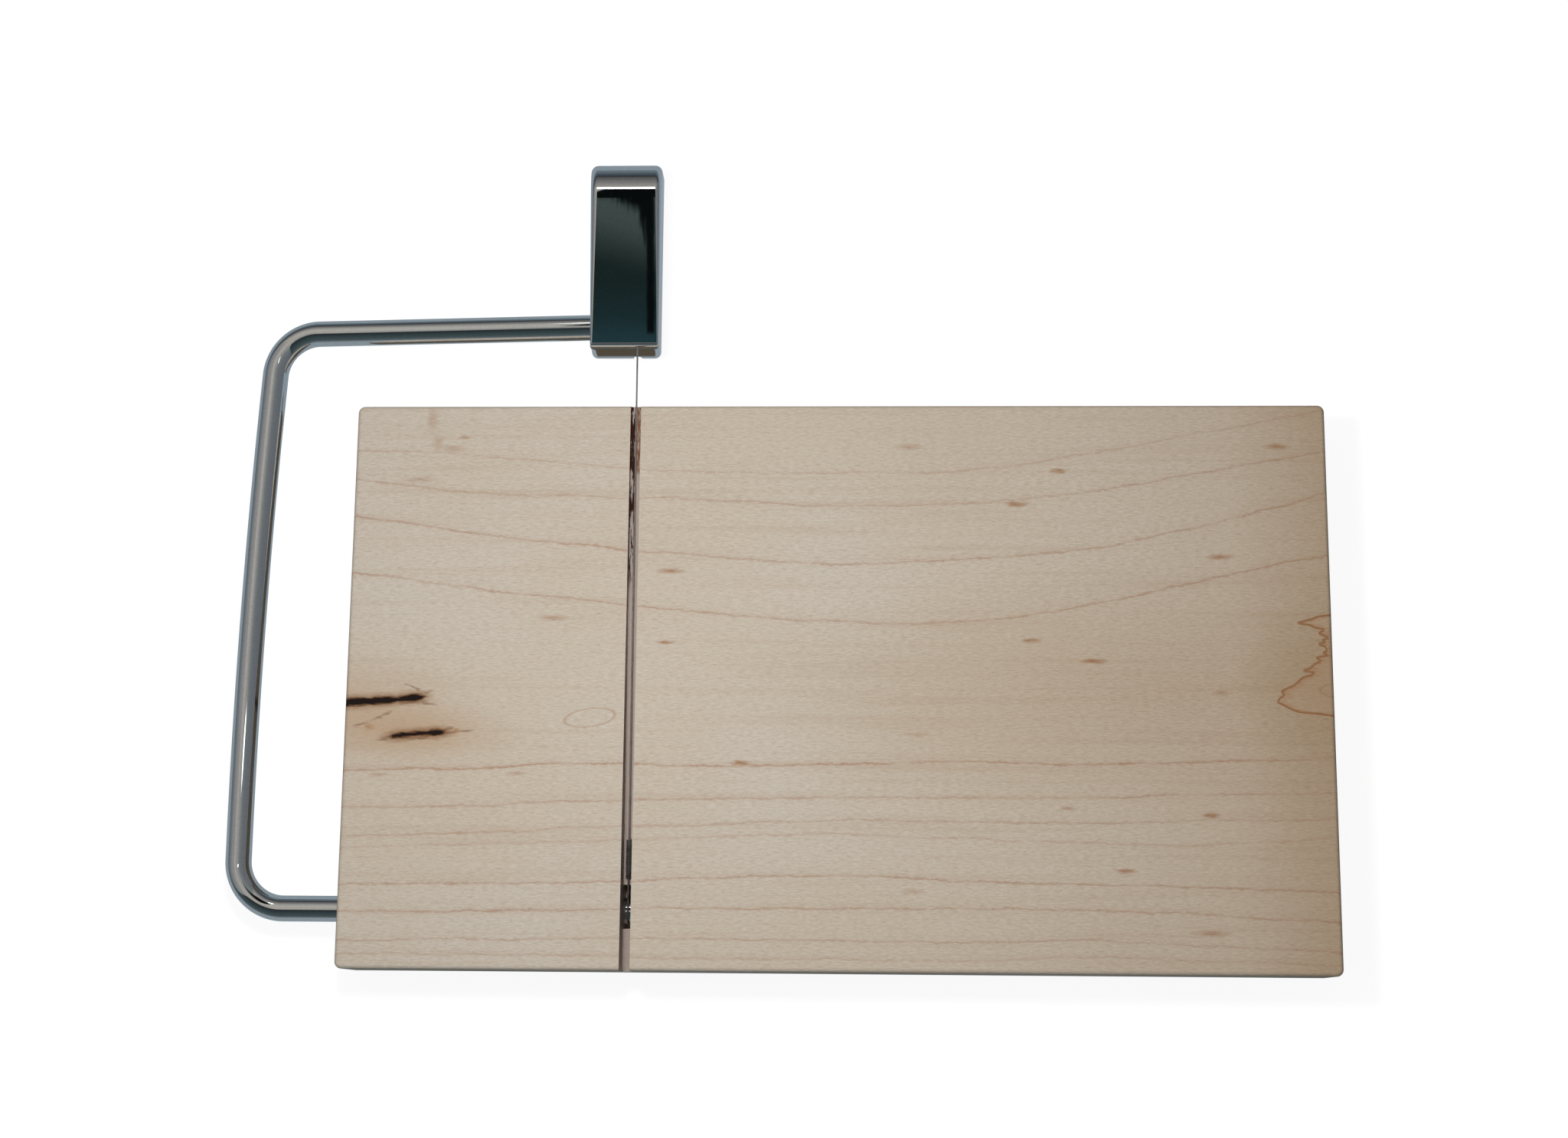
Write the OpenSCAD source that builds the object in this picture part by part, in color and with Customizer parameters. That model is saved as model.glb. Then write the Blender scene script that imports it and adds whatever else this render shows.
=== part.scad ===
// Cheese wire cutter: a grooved maple board, a bent steel rod that hinges in it, a die-cast handle and a taut wire.
// X runs along the board, Y from the near edge to the handle, Z up. The origin is the base centre of the whole part.

/* [Board] */
// length of the board along X
board_l = 241.3; // [200:0.1:300]
// width of the board along Y
board_w = 139.7; // [115:0.1:180]
// thickness of the board
board_t = 19.05; // [17:0.05:26]
// rounding of the board's long edges
edge_r = 1.1; // [0.5:0.1:1.2]

/* [Groove] */
// distance of the groove's centre from the left end
groove_x = 70.2; // [50:0.1:110]
// width of the groove
groove_w = 2.6; // [2.2:0.1:3.6]
// depth of the groove at the far edge
groove_far_d = 1.4; // [1.3:0.1:2.5]
// depth of the groove at the near edge
groove_near_d = 8.2; // [7.8:0.1:9]
// room beyond the hinge for the wire's eye
pocket_far = 6.2; // [6:0.1:8]
// room on the near side of the hinge
pocket_near = 4.4; // [4.4:0.1:6]
// room under the eye of the wire
pocket_gap = 0.6; // [0.4:0.1:1.5]

/* [Rod] */
// diameter of the rod
rod_d = 6.35; // [5.5:0.05:7]
// centreline radius of both bends
bend_r = 11; // [8:0.5:14]
// distance of the hinge from the near edge
hinge_y = 14.66; // [12:0.1:20]
// distance of the rod's lower corner from the board's left end
arm_out = 27.4; // [24:0.1:40]
// inside angle of the lower bend
lower_bend = 87; // [86:0.5:90]
// inside angle of the upper bend
upper_bend = 94; // [90:0.5:95]
// lift of the lowered arm from level
rest_tilt = 6; // [5:0.1:7]
// depth of the hinge end beyond the groove
hinge_depth = 22; // [12:1:40]
// running clearance around the hinge
hinge_play = 0.06; // [0.02:0.01:0.1]

/* [Handle] */
// length of the handle
grip_l = 47.6; // [40:0.1:60]
// width of the handle's near end
grip_near_w = 16.9; // [16.6:0.1:22]
// width of the handle's far end
grip_far_w = 17.9; // [16.6:0.1:24]
// height from the rod's centre to the handle's top
grip_up = 6.5; // [6:0.1:9]
// height from the rod's centre to the handle's rim
grip_down = 7.5; // [7:0.1:9]
// wall of the casting
grip_wall = 2; // [1.6:0.1:2.4]
// rounding of the far end's top
far_round = 7.5; // [5:0.1:9]
// rounding of the near end's top
near_round = 2.6; // [2.2:0.1:4]
// rounding of the two long top edges
side_round = 1.4; // [0.8:0.1:2]
// rounding of the four upright corners
corner_r = 1.7; // [1:0.1:2.4]
// gap between the board and the handle
grip_gap = 12.9; // [8:0.1:25]
// distance of the handle's centre line to the left of the wire
grip_shift = 2.6; // [2:0.1:3.4]
// distance of the rod from the handle's near end
rod_inset = 6.65; // [6.4:0.05:9]

/* [Wire] */
// diameter of the cutting wire
wire_d = 0.45; // [0.4:0.05:0.6]
// distance of the wrap from the hinge
wrap_start = 8.1; // [7.6:0.1:10]
// turns in the wrap at the hinge
wrap_turns = 20; // [12:1:24]
// width of the wire's notch in the handle
notch_w = 2; // [1.4:0.1:2.4]

/* [Feet and screws] */
// height of the rubber feet
foot_h = 5; // [4:0.1:8]
// diameter of the rubber feet
foot_d = 14; // [12:0.5:18]
// distance of the feet from the board's ends
foot_x = 20; // [16:0.5:30]
// distance of the feet from the board's long edges
foot_y = 26; // [25:0.5:34]
// diameter of the foot screws
screw_d = 3.4; // [3:0.1:4]
// depth of the foot screws in the wood
screw_in = 9; // [6:0.5:11]
// diameter of the anchor screw in the handle
anchor_d = 3; // [2.5:0.1:3.2]
// diameter of the set screw in the handle
set_d = 4; // [3:0.1:4.2]

/* [Hidden] */
$fn = 64;
over = 1;
lap = 0.02;
seam = 0.1;
seam_up = 0.01;
rod_r = rod_d / 2;
wire_r = wire_d / 2;
hinge_z = foot_h + board_t / 2;
top_z = foot_h + board_t;
eye_r = rod_r + wire_r;
groove_slope = (groove_near_d - groove_far_d) / board_w;

// the wire leaves the top of the hinge and just clears the groove's floor at the far edge
seat_gap = 0.05;
stop_y = board_w - hinge_y;
stop_z = top_z - groove_far_d + wire_r + seat_gap - hinge_z;
wire_rise = atan2(stop_z, stop_y) - asin(eye_r / norm([stop_y, stop_z]));
wire_fall = wire_rise - rest_tilt;

// the arm's own plane: x as the board's, y away from the hinge, z off the plane
grip_x = groove_x - grip_shift;
grip_y = board_w - hinge_y + grip_gap;
upper_dir = lower_bend + upper_bend - 180;
corner1 = [-arm_out, 0];
reach = grip_y + rod_inset - (grip_x + arm_out) * tan(upper_dir);
corner2_y = reach / (1 - tan(upper_dir) / tan(lower_bend));
corner2 = [-arm_out + corner2_y / tan(lower_bend), corner2_y];
cut1 = bend_r * tan((180 - lower_bend) / 2);
cut2 = bend_r * tan((180 - upper_bend) / 2);
arm_dir = [cos(lower_bend), sin(lower_bend)];
top_dir = [cos(upper_dir), sin(upper_dir)];
bend1 = corner1 + [cut1, bend_r];
bend2 = corner2 - cut2 * arm_dir + bend_r * [sin(lower_bend), -cos(lower_bend)];
rod_end_x = groove_x - 1.7;
top_len = (rod_end_x - corner2[0]) / cos(upper_dir);
boss_r = rod_r + 1.5;
boss_y = grip_y + rod_inset;

// wire stations in the arm's plane, as [y, z]
notch_y = grip_y + grip_wall / 2;
notch_z = eye_r / cos(wire_fall) + notch_y * tan(wire_fall);
anchor_r = anchor_d / 2;
loop_r = anchor_r + wire_r + 0.02;
anchor_x = groove_x - loop_r;
anchor_y = grip_y + 23;
loop_z = -4.15;
boss_z = loop_z + wire_r + 0.03;
head_z = loop_z - wire_r - 0.03;
wrap_pitch = wire_d + 0.02;
wrap_r = wire_d + 0.02;
wrap2_turns = round(wrap_turns * 0.7);
tail_y = 6;
lead_y = anchor_y - 5;
wrap2_end = lead_y - 1;

// the whole part's box, for the origin
left_x = bend1[0] - bend_r - rod_r;
far_y = hinge_y + (grip_y + grip_l) * cos(rest_tilt) + grip_down * sin(rest_tilt);
origin_x = (left_x + board_l) / 2;
origin_y = far_y / 2;

module in_place() {
    translate([-origin_x, -origin_y, 0]) children();
}

module in_arm() {
    in_place() translate([0, hinge_y, hinge_z]) rotate([rest_tilt, 0, 0]) children();
}

module along(a, b, r) {
    d = b - a;
    translate(a) rotate([0, acos(d[2] / norm(d)), atan2(d[1], d[0])]) cylinder(h = norm(d), r = r);
}

module bar_x(x0, x1, r) {
    translate([x0, 0, 0]) rotate([0, 90, 0]) cylinder(h = x1 - x0, r = r);
}

// a round bar in the arm's plane, from s0 to s1 along the direction d from the point p
module on_rod(p, d, s0, s1, r) {
    translate([p[0], p[1], 0]) rotate([0, 90, atan2(d[1], d[0])]) translate([0, 0, s0]) cylinder(h = s1 - s0, r = r);
}

module bend(centre, from, turn) {
    translate([centre[0], centre[1], 0]) rotate([0, 0, from])
        rotate_extrude(angle = turn) translate([bend_r, 0]) circle(r = rod_r);
}

// the board's blank: long edges rounded, end edges chamfered
module blank() {
    c = edge_r * 0.7;
    l = board_l;
    t = board_t;
    intersection() {
        translate([-over, 0, 0]) rotate([90, 0, 90]) linear_extrude(l + 2 * over) {
            translate([edge_r, 0]) square([board_w - 2 * edge_r, t]);
            translate([0, edge_r]) square([board_w, t - 2 * edge_r]);
            for (y = [edge_r, board_w - edge_r], z = [edge_r, t - edge_r]) translate([y, z]) circle(r = edge_r);
        }
        translate([0, board_w + over, 0]) rotate([90, 0, 0]) linear_extrude(board_w + 2 * over)
            polygon([
                [0, c], [0, t - c], [c + over, t + over], [l - c - over, t + over],
                [l, t - c], [l, c], [l - c - over, -over], [c + over, -over]
            ]);
    }
}

module groove_cut() {
    near_z = top_z - groove_near_d - over * groove_slope;
    far_z = top_z - groove_far_d + over * groove_slope;
    translate([groove_x + groove_w / 2, 0, 0]) rotate([90, 0, -90]) linear_extrude(groove_w)
        polygon([[over, near_z], [over, top_z + over], [-board_w - over, top_z + over], [-board_w - over, far_z]]);
    translate([groove_x - groove_w / 2, hinge_y - pocket_near, hinge_z - eye_r - wire_r - pocket_gap])
        cube([groove_w, pocket_near + pocket_far, board_t]);
}

module board() {
    color("burlywood") in_place() difference() {
        translate([0, 0, foot_h]) blank();
        groove_cut();
        translate([0, hinge_y, hinge_z]) bar_x(-over, groove_x + hinge_depth + over, rod_r + hinge_play);
        for (x = [foot_x, board_l - foot_x], y = [foot_y, board_w - foot_y])
            translate([x, y, foot_h - over]) cylinder(h = screw_in + over, r = screw_d / 2);
    }
}

module arm_rod() {
    color("silver") in_arm() {
        on_rod(corner1, [1, 0], cut1 + lap, groove_x + hinge_depth - corner1[0], rod_r);
        bend(bend1, lower_bend + 90, 180 - lower_bend);
        on_rod(corner1, arm_dir, cut1 + lap, norm(corner2 - corner1) - cut2 - lap, rod_r);
        bend(bend2, upper_dir + 90, 180 - upper_bend);
        on_rod(corner2, top_dir, cut2 + lap, top_len, rod_r);
        // a hair-thin band closes the seam at each end of both bends
        on_rod(corner1, [1, 0], cut1 - seam, cut1 + seam, rod_r + seam_up);
        on_rod(corner1, arm_dir, cut1 - seam, cut1 + seam, rod_r + seam_up);
        on_rod(corner2, -arm_dir, cut2 - seam, cut2 + seam, rod_r + seam_up);
        on_rod(corner2, top_dir, cut2 - seam, cut2 + seam, rod_r + seam_up);
    }
}

// two upright-edged discs whose rims are rounded, the ends of one rounded top edge
module edge_discs(half_w, y, r) {
    for (s = [-1, 1]) translate([s * (half_w - side_round), y, grip_up - r]) rotate([0, 90, 0])
        rotate_extrude($fn = 64) intersection() {
            translate([r - side_round, 0]) circle(r = side_round, $fn = 32);
            translate([0, -side_round]) square([r, 2 * side_round]);
        }
}

module rim_corners(half_w, y) {
    for (s = [-1, 1]) translate([s * (half_w - corner_r), y, -grip_down]) cylinder(h = over, r = corner_r, $fn = 32);
}

module grip_skin() {
    hull() {
        edge_discs(grip_near_w / 2, near_round, near_round);
        edge_discs(grip_far_w / 2, grip_l - far_round, far_round);
        rim_corners(grip_near_w / 2, corner_r);
        rim_corners(grip_far_w / 2, grip_l - corner_r);
    }
}

// the open underside: full length below the far end's rounding, shorter above it
module grip_hollow() {
    hn = grip_near_w / 2 - grip_wall;
    hf = grip_far_w / 2 - grip_wall;
    y0 = grip_wall;
    y1 = grip_l - grip_wall;
    step_z = grip_up - far_round + 2;
    roof_z = grip_up - grip_wall;
    cut = far_round - grip_wall - 2;
    translate([0, 0, -grip_down - over]) linear_extrude(step_z + grip_down + over)
        polygon([[-hn, y0], [hn, y0], [hf, y1], [-hf, y1]]);
    translate([0, 0, -grip_down - over]) linear_extrude(roof_z + grip_down + over)
        polygon([[-hn, y0], [hn, y0], [hf, y1 - cut], [-hf, y1 - cut]]);
}

module handle() {
    color("lightgray") in_arm() difference() {
        union() {
            translate([grip_x, grip_y, 0]) difference() {
                grip_skin();
                grip_hollow();
            }
            rod_boss(boss_r, grip_x - grip_near_w / 2 + grip_wall / 2, rod_end_x + 0.8);
            translate([anchor_x, anchor_y, boss_z]) cylinder(h = grip_up - grip_wall / 2 - boss_z, r = 2.9);
        }
        rod_boss(rod_r, grip_x - grip_far_w, rod_end_x);
        translate([anchor_x, anchor_y, boss_z - over]) cylinder(h = 6 + over, r = anchor_r);
        translate([grip_x - 3.5, boss_y, -boss_r - over]) cylinder(h = boss_r + over, r = set_d / 2);
        notch_cut();
    }
}

// round bar on the upper rod's centre line between two x stations
module rod_boss(r, x0, x1) {
    k = 1 / cos(upper_dir);
    along([each corner2 + (x0 - corner2[0]) * k * top_dir, 0],
        [each corner2 + (x1 - corner2[0]) * k * top_dir, 0], r);
}

module notch_cut() {
    z = notch_z + wire_r + 0.03;
    translate([groove_x, grip_y - over, 0]) {
        translate([-notch_w / 2, 0, -grip_down - over])
            cube([notch_w, grip_wall + 2 * over, z - notch_w / 2 + grip_down + over]);
        translate([0, 0, z - notch_w / 2]) rotate([-90, 0, 0]) cylinder(h = grip_wall + 2 * over, r = notch_w / 2);
    }
}

function unit(v) = v / norm(v);
function on_wire(y) = [groove_x, y, eye_r / cos(wire_fall) + y * tan(wire_fall)];
function on_lead(y) = [groove_x, y, notch_z + (loop_z - notch_z) * (y - notch_y) / (lead_y - notch_y)];

// points of an arc about c in the plane of the unit vectors u and v
function arc(c, r, u, v, from, to, n) = [for (i = [0:n]) let (t = from + (to - from) * i / n)
    c + r * (cos(t) * u + sin(t) * v)];

// points of a wrap that runs from a along the unit vector d, starting at the unit vector u
function wrap(a, d, u, turns) = [for (i = [0:turns * 10]) let (t = i * 36)
    a + i * wrap_pitch / 10 * d + wrap_r * (cos(t) * u + sin(t) * cross(d, u))];

function carried(u, t) = unit(u - (u * t) * t);

// one closed tube of n sides along the points p
module tube(p, r, n) {
    m = len(p);
    dirs = [for (i = [0:m - 1]) unit(p[min(i + 1, m - 1)] - p[max(i - 1, 0)])];
    side = carried([0.3, 0.2, 1], dirs[0]);
    sides = [for (i = 0, u = side; i < m; i = i + 1, u = carried(u, dirs[min(i, m - 1)])) u];
    pts = [for (i = [0:m - 1], j = [0:n - 1]) let (a = 360 * j / n, u = sides[i])
        p[i] + r * (cos(a) * u + sin(a) * cross(dirs[i], u))];
    walls = [for (i = [0:m - 2], j = [0:n - 1]) let (k = (j + 1) % n)
        [i * n + j, (i + 1) * n + j, (i + 1) * n + k, i * n + k]];
    polyhedron(pts, concat([[for (j = [0:n - 1]) j]], walls, [[for (j = [n - 1:-1:0]) (m - 1) * n + j]]));
}

function wire_path() = let (
    down = [0, cos(wire_fall), sin(wire_fall)],
    lead = unit(on_lead(notch_y) - on_lead(lead_y)),
    wrap_a = on_lead(wrap2_end),
    wrap_b = on_wire(wrap_start),
    left = [-1, 0, 0],
    under = [0, sin(wire_fall), -cos(wire_fall)],
    out = [loop_r - wrap_r, wrap2_end - anchor_y],
    leave = 360 + atan2(out[1], out[0]) - acos(loop_r / norm(out)),
    centre = [anchor_x, anchor_y, loop_z]
) concat(
    [for (i = [wrap2_turns * 10:-1:0]) wrap(wrap_a, lead, left, wrap2_turns)[i]],
    [for (i = [12:-1:0]) arc(centre, loop_r, [1, 0, 0], [0, 1, 0], 0, leave, 12)[i]],
    [on_lead(lead_y), on_lead(notch_y)],
    arc([groove_x, 0, 0], eye_r, [0, 1, 0], [0, 0, 1], 90 + wire_fall, 329, 16),
    [on_wire(tail_y) + (wrap_r + 0.05) * under],
    wrap(wrap_b, down, under, wrap_turns)
);

module cutting_wire() {
    color("dimgray") in_arm() tube(wire_path(), wire_r, 8);
}

module anchor_screw() {
    color("gray") in_arm() translate([anchor_x, anchor_y, 0]) difference() {
        union() {
            translate([0, 0, head_z - lap]) cylinder(h = boss_z + 6 - over - head_z, r = anchor_r);
            translate([0, 0, head_z - 1.9]) cylinder(h = 1.9, r = anchor_r + 1.4);
        }
        for (a = [0, 90]) translate([0, 0, head_z - 1.9]) rotate([0, 0, a])
            cube([0.7, 2.8, 1.8], center = true);
    }
}

module set_screw() {
    color("dimgray") in_arm() translate([grip_x - 3.5, boss_y, 0]) difference() {
        translate([0, 0, -boss_r - 0.6]) cylinder(h = boss_r + 0.6 - rod_r, r = set_d / 2);
        translate([0, 0, -boss_r - 0.6 - over]) cylinder(h = over + 1.2, d = set_d * 0.5, $fn = 6);
    }
}

module foot(x, y) {
    color("dimgray") in_place() translate([x, y, 0]) difference() {
        cylinder(h = foot_h, r1 = foot_d / 2 - 0.8, r2 = foot_d / 2);
        translate([0, 0, -over]) cylinder(h = foot_h / 2 + over, r = screw_d / 2 + 2.4);
        translate([0, 0, -over]) cylinder(h = foot_h + 2 * over, r = screw_d / 2);
    }
}

module foot_screw(x, y) {
    color("silver") in_place() translate([x, y, 0]) difference() {
        union() {
            translate([0, 0, foot_h / 2 - 1.9]) cylinder(h = 1.9, r = screw_d / 2 + 1.9);
            translate([0, 0, foot_h / 2 - lap]) cylinder(h = foot_h / 2 + screw_in - 0.5, r = screw_d / 2);
        }
        for (a = [0, 90]) translate([0, 0, foot_h / 2 - 1.9]) rotate([0, 0, a])
            cube([0.8, 3.6, 2], center = true);
    }
}

board();
arm_rod();
handle();
cutting_wire();
anchor_screw();
set_screw();
foot(foot_x, foot_y);  // foot_nl
foot(board_l - foot_x, foot_y);  // foot_nr
foot(foot_x, board_w - foot_y);  // foot_fl
foot(board_l - foot_x, board_w - foot_y);  // foot_fr
foot_screw(foot_x, foot_y);  // foot_screw_nl
foot_screw(board_l - foot_x, foot_y);  // foot_screw_nr
foot_screw(foot_x, board_w - foot_y);  // foot_screw_fl
foot_screw(board_l - foot_x, board_w - foot_y);  // foot_screw_fr
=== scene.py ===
"""Cheese wire cutter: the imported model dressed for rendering.

A maple board with a sawn groove, a bright-plated bent rod that hinges in it, a plated zinc handle and a taut steel
wire. Lengths are in millimetres from the board's left near corner, on the plane that its feet stand on, until place()
or in_arm() turns them into metres.
"""

import math
from functools import partial
from types import SimpleNamespace

import bmesh
import bpy
import numpy as np
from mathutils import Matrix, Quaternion, Vector
from mathutils.bvhtree import BVHTree


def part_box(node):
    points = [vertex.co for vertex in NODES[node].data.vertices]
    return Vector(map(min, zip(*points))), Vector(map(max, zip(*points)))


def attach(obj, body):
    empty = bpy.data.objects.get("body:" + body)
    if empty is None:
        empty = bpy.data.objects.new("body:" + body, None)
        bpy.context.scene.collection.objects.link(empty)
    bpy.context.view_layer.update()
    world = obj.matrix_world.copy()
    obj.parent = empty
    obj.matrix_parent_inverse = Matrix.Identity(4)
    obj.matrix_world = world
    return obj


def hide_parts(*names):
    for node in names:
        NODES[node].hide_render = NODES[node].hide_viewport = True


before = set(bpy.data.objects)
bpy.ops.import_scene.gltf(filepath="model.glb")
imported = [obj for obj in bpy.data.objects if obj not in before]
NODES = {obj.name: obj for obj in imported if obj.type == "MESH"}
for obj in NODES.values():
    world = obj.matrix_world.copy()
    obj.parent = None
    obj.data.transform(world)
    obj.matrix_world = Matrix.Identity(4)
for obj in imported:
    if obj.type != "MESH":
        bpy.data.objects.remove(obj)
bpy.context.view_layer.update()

bl_info = {
    "name": "Cheese wire cutter",
    "version": (1, 0, 0),
    "blender": (4, 5, 0),
    "location": "View3D > Sidebar > Cutter",
    "description": "Dresses the packed cheese wire cutter with its finished surfaces and materials",
    "category": "Object",
}

MM = 0.001
BOARD_LO, BOARD_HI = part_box("board")
BOARD = [round((hi - lo) / MM, 3) for lo, hi in zip(BOARD_LO, BOARD_HI)]
FOOT_HIGH = BOARD_LO.z / MM
HINGE_Z = FOOT_HIGH + BOARD[2] / 2
TOP_Z = FOOT_HIGH + BOARD[2]

# The photograph's frame, scaled to a long side of 1568.
FRAME_W, FRAME_H = 1568.0, 1568.0 * 1486 / 2048
# name: (x or None, y or None, the piece it is on, how its place is read off the finished vertices)
IMAGE_POINTS = {
    "object_left": (227.0, None, "plated_rod", "left"),
    "object_right": (1342.0, None, "maple_board", "right"),
    "object_top": (None, 165.1, "grip_casting", "top"),
    "object_bottom": (None, 973.3, "maple_board", "bottom"),
    "board_far_left": (360.9, 406.3, "maple_board", "far_left"),
    "board_far_right": (1324.6, 405.6, "maple_board", "far_right"),
    "handle_near_bottom": (None, 358.6, "grip_casting", "bottom"),
    "handle_left": (588.5, None, "grip_casting", "left"),
    "handle_right": (665.6, None, "grip_casting", "right"),
    "upper_rod": (428.8, 330.3, "plated_rod", "level"),
    "arm_middle": (252.2, 635.5, "plated_rod", "upright"),
    "lower_rod": (306.3, 907.8, "plated_rod", "level"),
    "wire_at_board": (638.3, 406.5, "steel_wire", "upright"),
    "wrap_far_end": (628.0, 838.0, "steel_wire", "wrap"),
    "axle_in_groove": (623.8, 914.2, "plated_rod", "level"),
    "bark_streak": (378.2, 697.2, "maple_board", "placed"),
    "second_streak": (420.9, 732.6, "maple_board", "placed"),
    "oval_eye": (589.6, 717.4, "maple_board", "placed"),
}

# The camera: a 54 mm lens on a 36 mm sensor, tipped about 11 degrees from straight down.
CAMERA_LENS = 54.05
SENSOR = 36.0
CAMERA_AT = (130.73, -12.4, 593.73)
CAMERA_TURN = (10.97, 2.26, 0.30)

# Growth lines on the board's face: y in mm from the near edge at nine even stations from the left end to the right, and
# how dark each is.
GROWTH_LINES = (
    ((128.4, 126.8, 124.2, 122.7, 122.5, 122.8, 126.9, 132.4, 138.4), 0.55),
    ((121.1, 117.4, 116.3, 115.5, 114.0, 114.5, 117.4, 122.5, 128.2), 0.7),
    ((111.5, 107.0, 103.7, 101.1, 99.3, 100.4, 103.0, 109.1, 117.3), 0.9),
    ((97.2, 93.2, 90.0, 86.9, 85.1, 84.9, 88.9, 95.3, 102.1), 0.85),
    ((47.8, 48.5, 49.7, 49.1, 49.8, 50.5, 50.0, 50.7, 52.0), 1.0),
    ((38.6, 39.3, 40.5, 41.2, 41.6, 41.9, 42.1, 43.0, 43.5), 0.75),
    ((31.9, 32.7, 34.1, 35.1, 36.3, 36.0, 35.9, 36.6, 37.2), 0.7),
    ((28.7, 29.9, 30.8, 31.9, 32.9, 31.9, 31.1, 30.9, 32.6), 0.5),
    ((20.2, 20.5, 21.0, 22.1, 23.0, 21.8, 21.3, 20.7, 19.5), 0.9),
    ((13.6, 13.9, 14.4, 15.0, 15.0, 15.2, 15.1, 14.2, 12.5), 0.85),
    ((6.7, 7.2, 7.5, 7.6, 7.4, 7.1, 7.9, 6.7, 5.7), 0.7),
    ((3.6, 3.6, 3.4, 3.1, 3.1, 3.1, 4.0, 3.4, 2.6), 0.5),
)
# How dark one of them is from side to side, over RING_REACH mm, and how far it moves to the near side for each mm of
# depth.
RING_PROFILE = ((0.0, 0.0), (0.4, 0.05), (0.455, 0.18), (0.485, 0.95), (0.515, 1.0), (0.555, 0.22), (0.68, 0.06),
                (1.0, 0.0))
RING_REACH = 6.0
RING_DIP = 0.8

# Gum flecks in the face: x, y, half length and half width in mm, and how dark.
GUM_FLECKS = (
    (165.1, 114.4, 3.0, 0.55, 0.95), (79.6, 97.5, 3.6, 0.6, 0.6), (50.7, 85.6, 3.6, 0.6, 0.45),
    (78.5, 79.7, 2.4, 0.4, 0.7), (183.4, 75.3, 3.2, 0.5, 0.95), (97.6, 50.0, 2.6, 0.55, 0.75),
    (168.2, 80.3, 2.6, 0.45, 0.75), (190.4, 24.5, 2.8, 0.5, 0.8), (214.7, 101.2, 3.4, 0.6, 0.65),
    (175.4, 122.8, 2.2, 0.5, 0.8), (210.9, 37.9, 2.2, 0.5, 0.8), (210.2, 9.9, 5.0, 0.6, 0.5),
    (214.2, 67.6, 2.6, 0.5, 0.5), (138.6, 129.0, 3.2, 0.7, 0.4), (229.3, 129.0, 3.4, 0.6, 0.6),
    (16.3, 120.7, 4.5, 0.6, 0.35), (27.3, 131.5, 1.2, 0.4, 0.4), (140.2, 57.2, 4.0, 0.5, 0.3),
    (19.0, 136.1, 1.6, 2.6, 0.3), (20.7, 130.0, 1.4, 1.8, 0.3), (24.5, 128.6, 3.4, 0.8, 0.35),
    (176.5, 39.5, 2.2, 0.45, 0.4), (9.0, 46.8, 2.6, 0.5, 0.35), (43.0, 47.2, 2.4, 0.4, 0.35),
    (6.2, 58.5, 1.2, 0.7, 0.8), (27.8, 57.5, 0.9, 0.6, 0.9), (139.2, 19.3, 3.2, 0.6, 0.3),
)

# Bark pockets: rows of lenses in mm from the first streak's or the second streak's image point, each with its start x
# and y, end x and y, and half thickness. The dark ones are bark, the faint ones are stained wisps that trail from them.
BARK_LENSES = {
    "bark_streak": (
        (-26.0, -2.2, 8.0, -0.4, 0.95), (-6.0, -1.2, 7.0, -0.35, 0.85), (3.5, -0.55, 11.6, 0.1, 0.62),
        (6.3, -0.1, 11.2, 0.05, 0.85)),
    "second_streak": ((-8.0, -0.9, -1.0, -0.25, 0.55), (-6.0, -0.4, 6.0, 0.1, 0.42), (0.8, -0.1, 6.2, 0.2, 0.62)),
}
BARK_WISPS = {
    "bark_streak": (
        (11.0, 1.1, 13.3, 1.65, 0.28), (9.6, -0.9, 14.9, -1.9, 0.28), (6.0, 3.6, 11.6, 1.3, 0.22),
        (-6.3, -7.2, -2.0, -6.1, 0.24), (-2.4, -6.2, 4.6, -2.9, 0.2), (4.0, -1.7, 11.0, -0.9, 0.26)),
    "second_streak": (
        (-11.2, -2.0, -7.0, -0.8, 0.28), (5.0, 0.1, 9.0, 0.25, 0.34), (-4.5, -1.5, 3.0, -1.2, 0.22),
        (4.6, 0.4, 8.2, 1.5, 0.22), (9.0, 0.3, 13.0, 0.7, 0.2)),
}

# The flame figure at the right end: its ragged left edge as (y, x) in mm, and the y and x that its curve runs between.
FLAME_EDGE = (
    (62.1, 240.7), (62.6, 237.1), (63.0, 232.4), (63.9, 230.4), (64.8, 228.7), (65.4, 227.5), (66.3, 228.1),
    (67.2, 229.3), (68.0, 228.5), (68.6, 229.7), (69.5, 231.7), (70.6, 232.9), (71.5, 233.9), (71.9, 235.6),
    (72.6, 236.8), (73.1, 233.8), (73.7, 235.7), (74.6, 236.6), (75.5, 238.4), (76.3, 237.1), (76.9, 240.2),
    (77.5, 238.8), (78.0, 239.9), (79.0, 239.4), (79.6, 237.8), (80.2, 239.7), (80.6, 238.6), (81.1, 240.4),
    (81.9, 238.9), (82.3, 237.9), (83.2, 239.5), (83.7, 237.1), (84.3, 236.0), (84.8, 232.8), (85.8, 236.5),
    (86.4, 237.9), (86.8, 241.0),
)
FLAME_BOX = ((60.0, 89.0), (225.0, 245.0))

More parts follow.
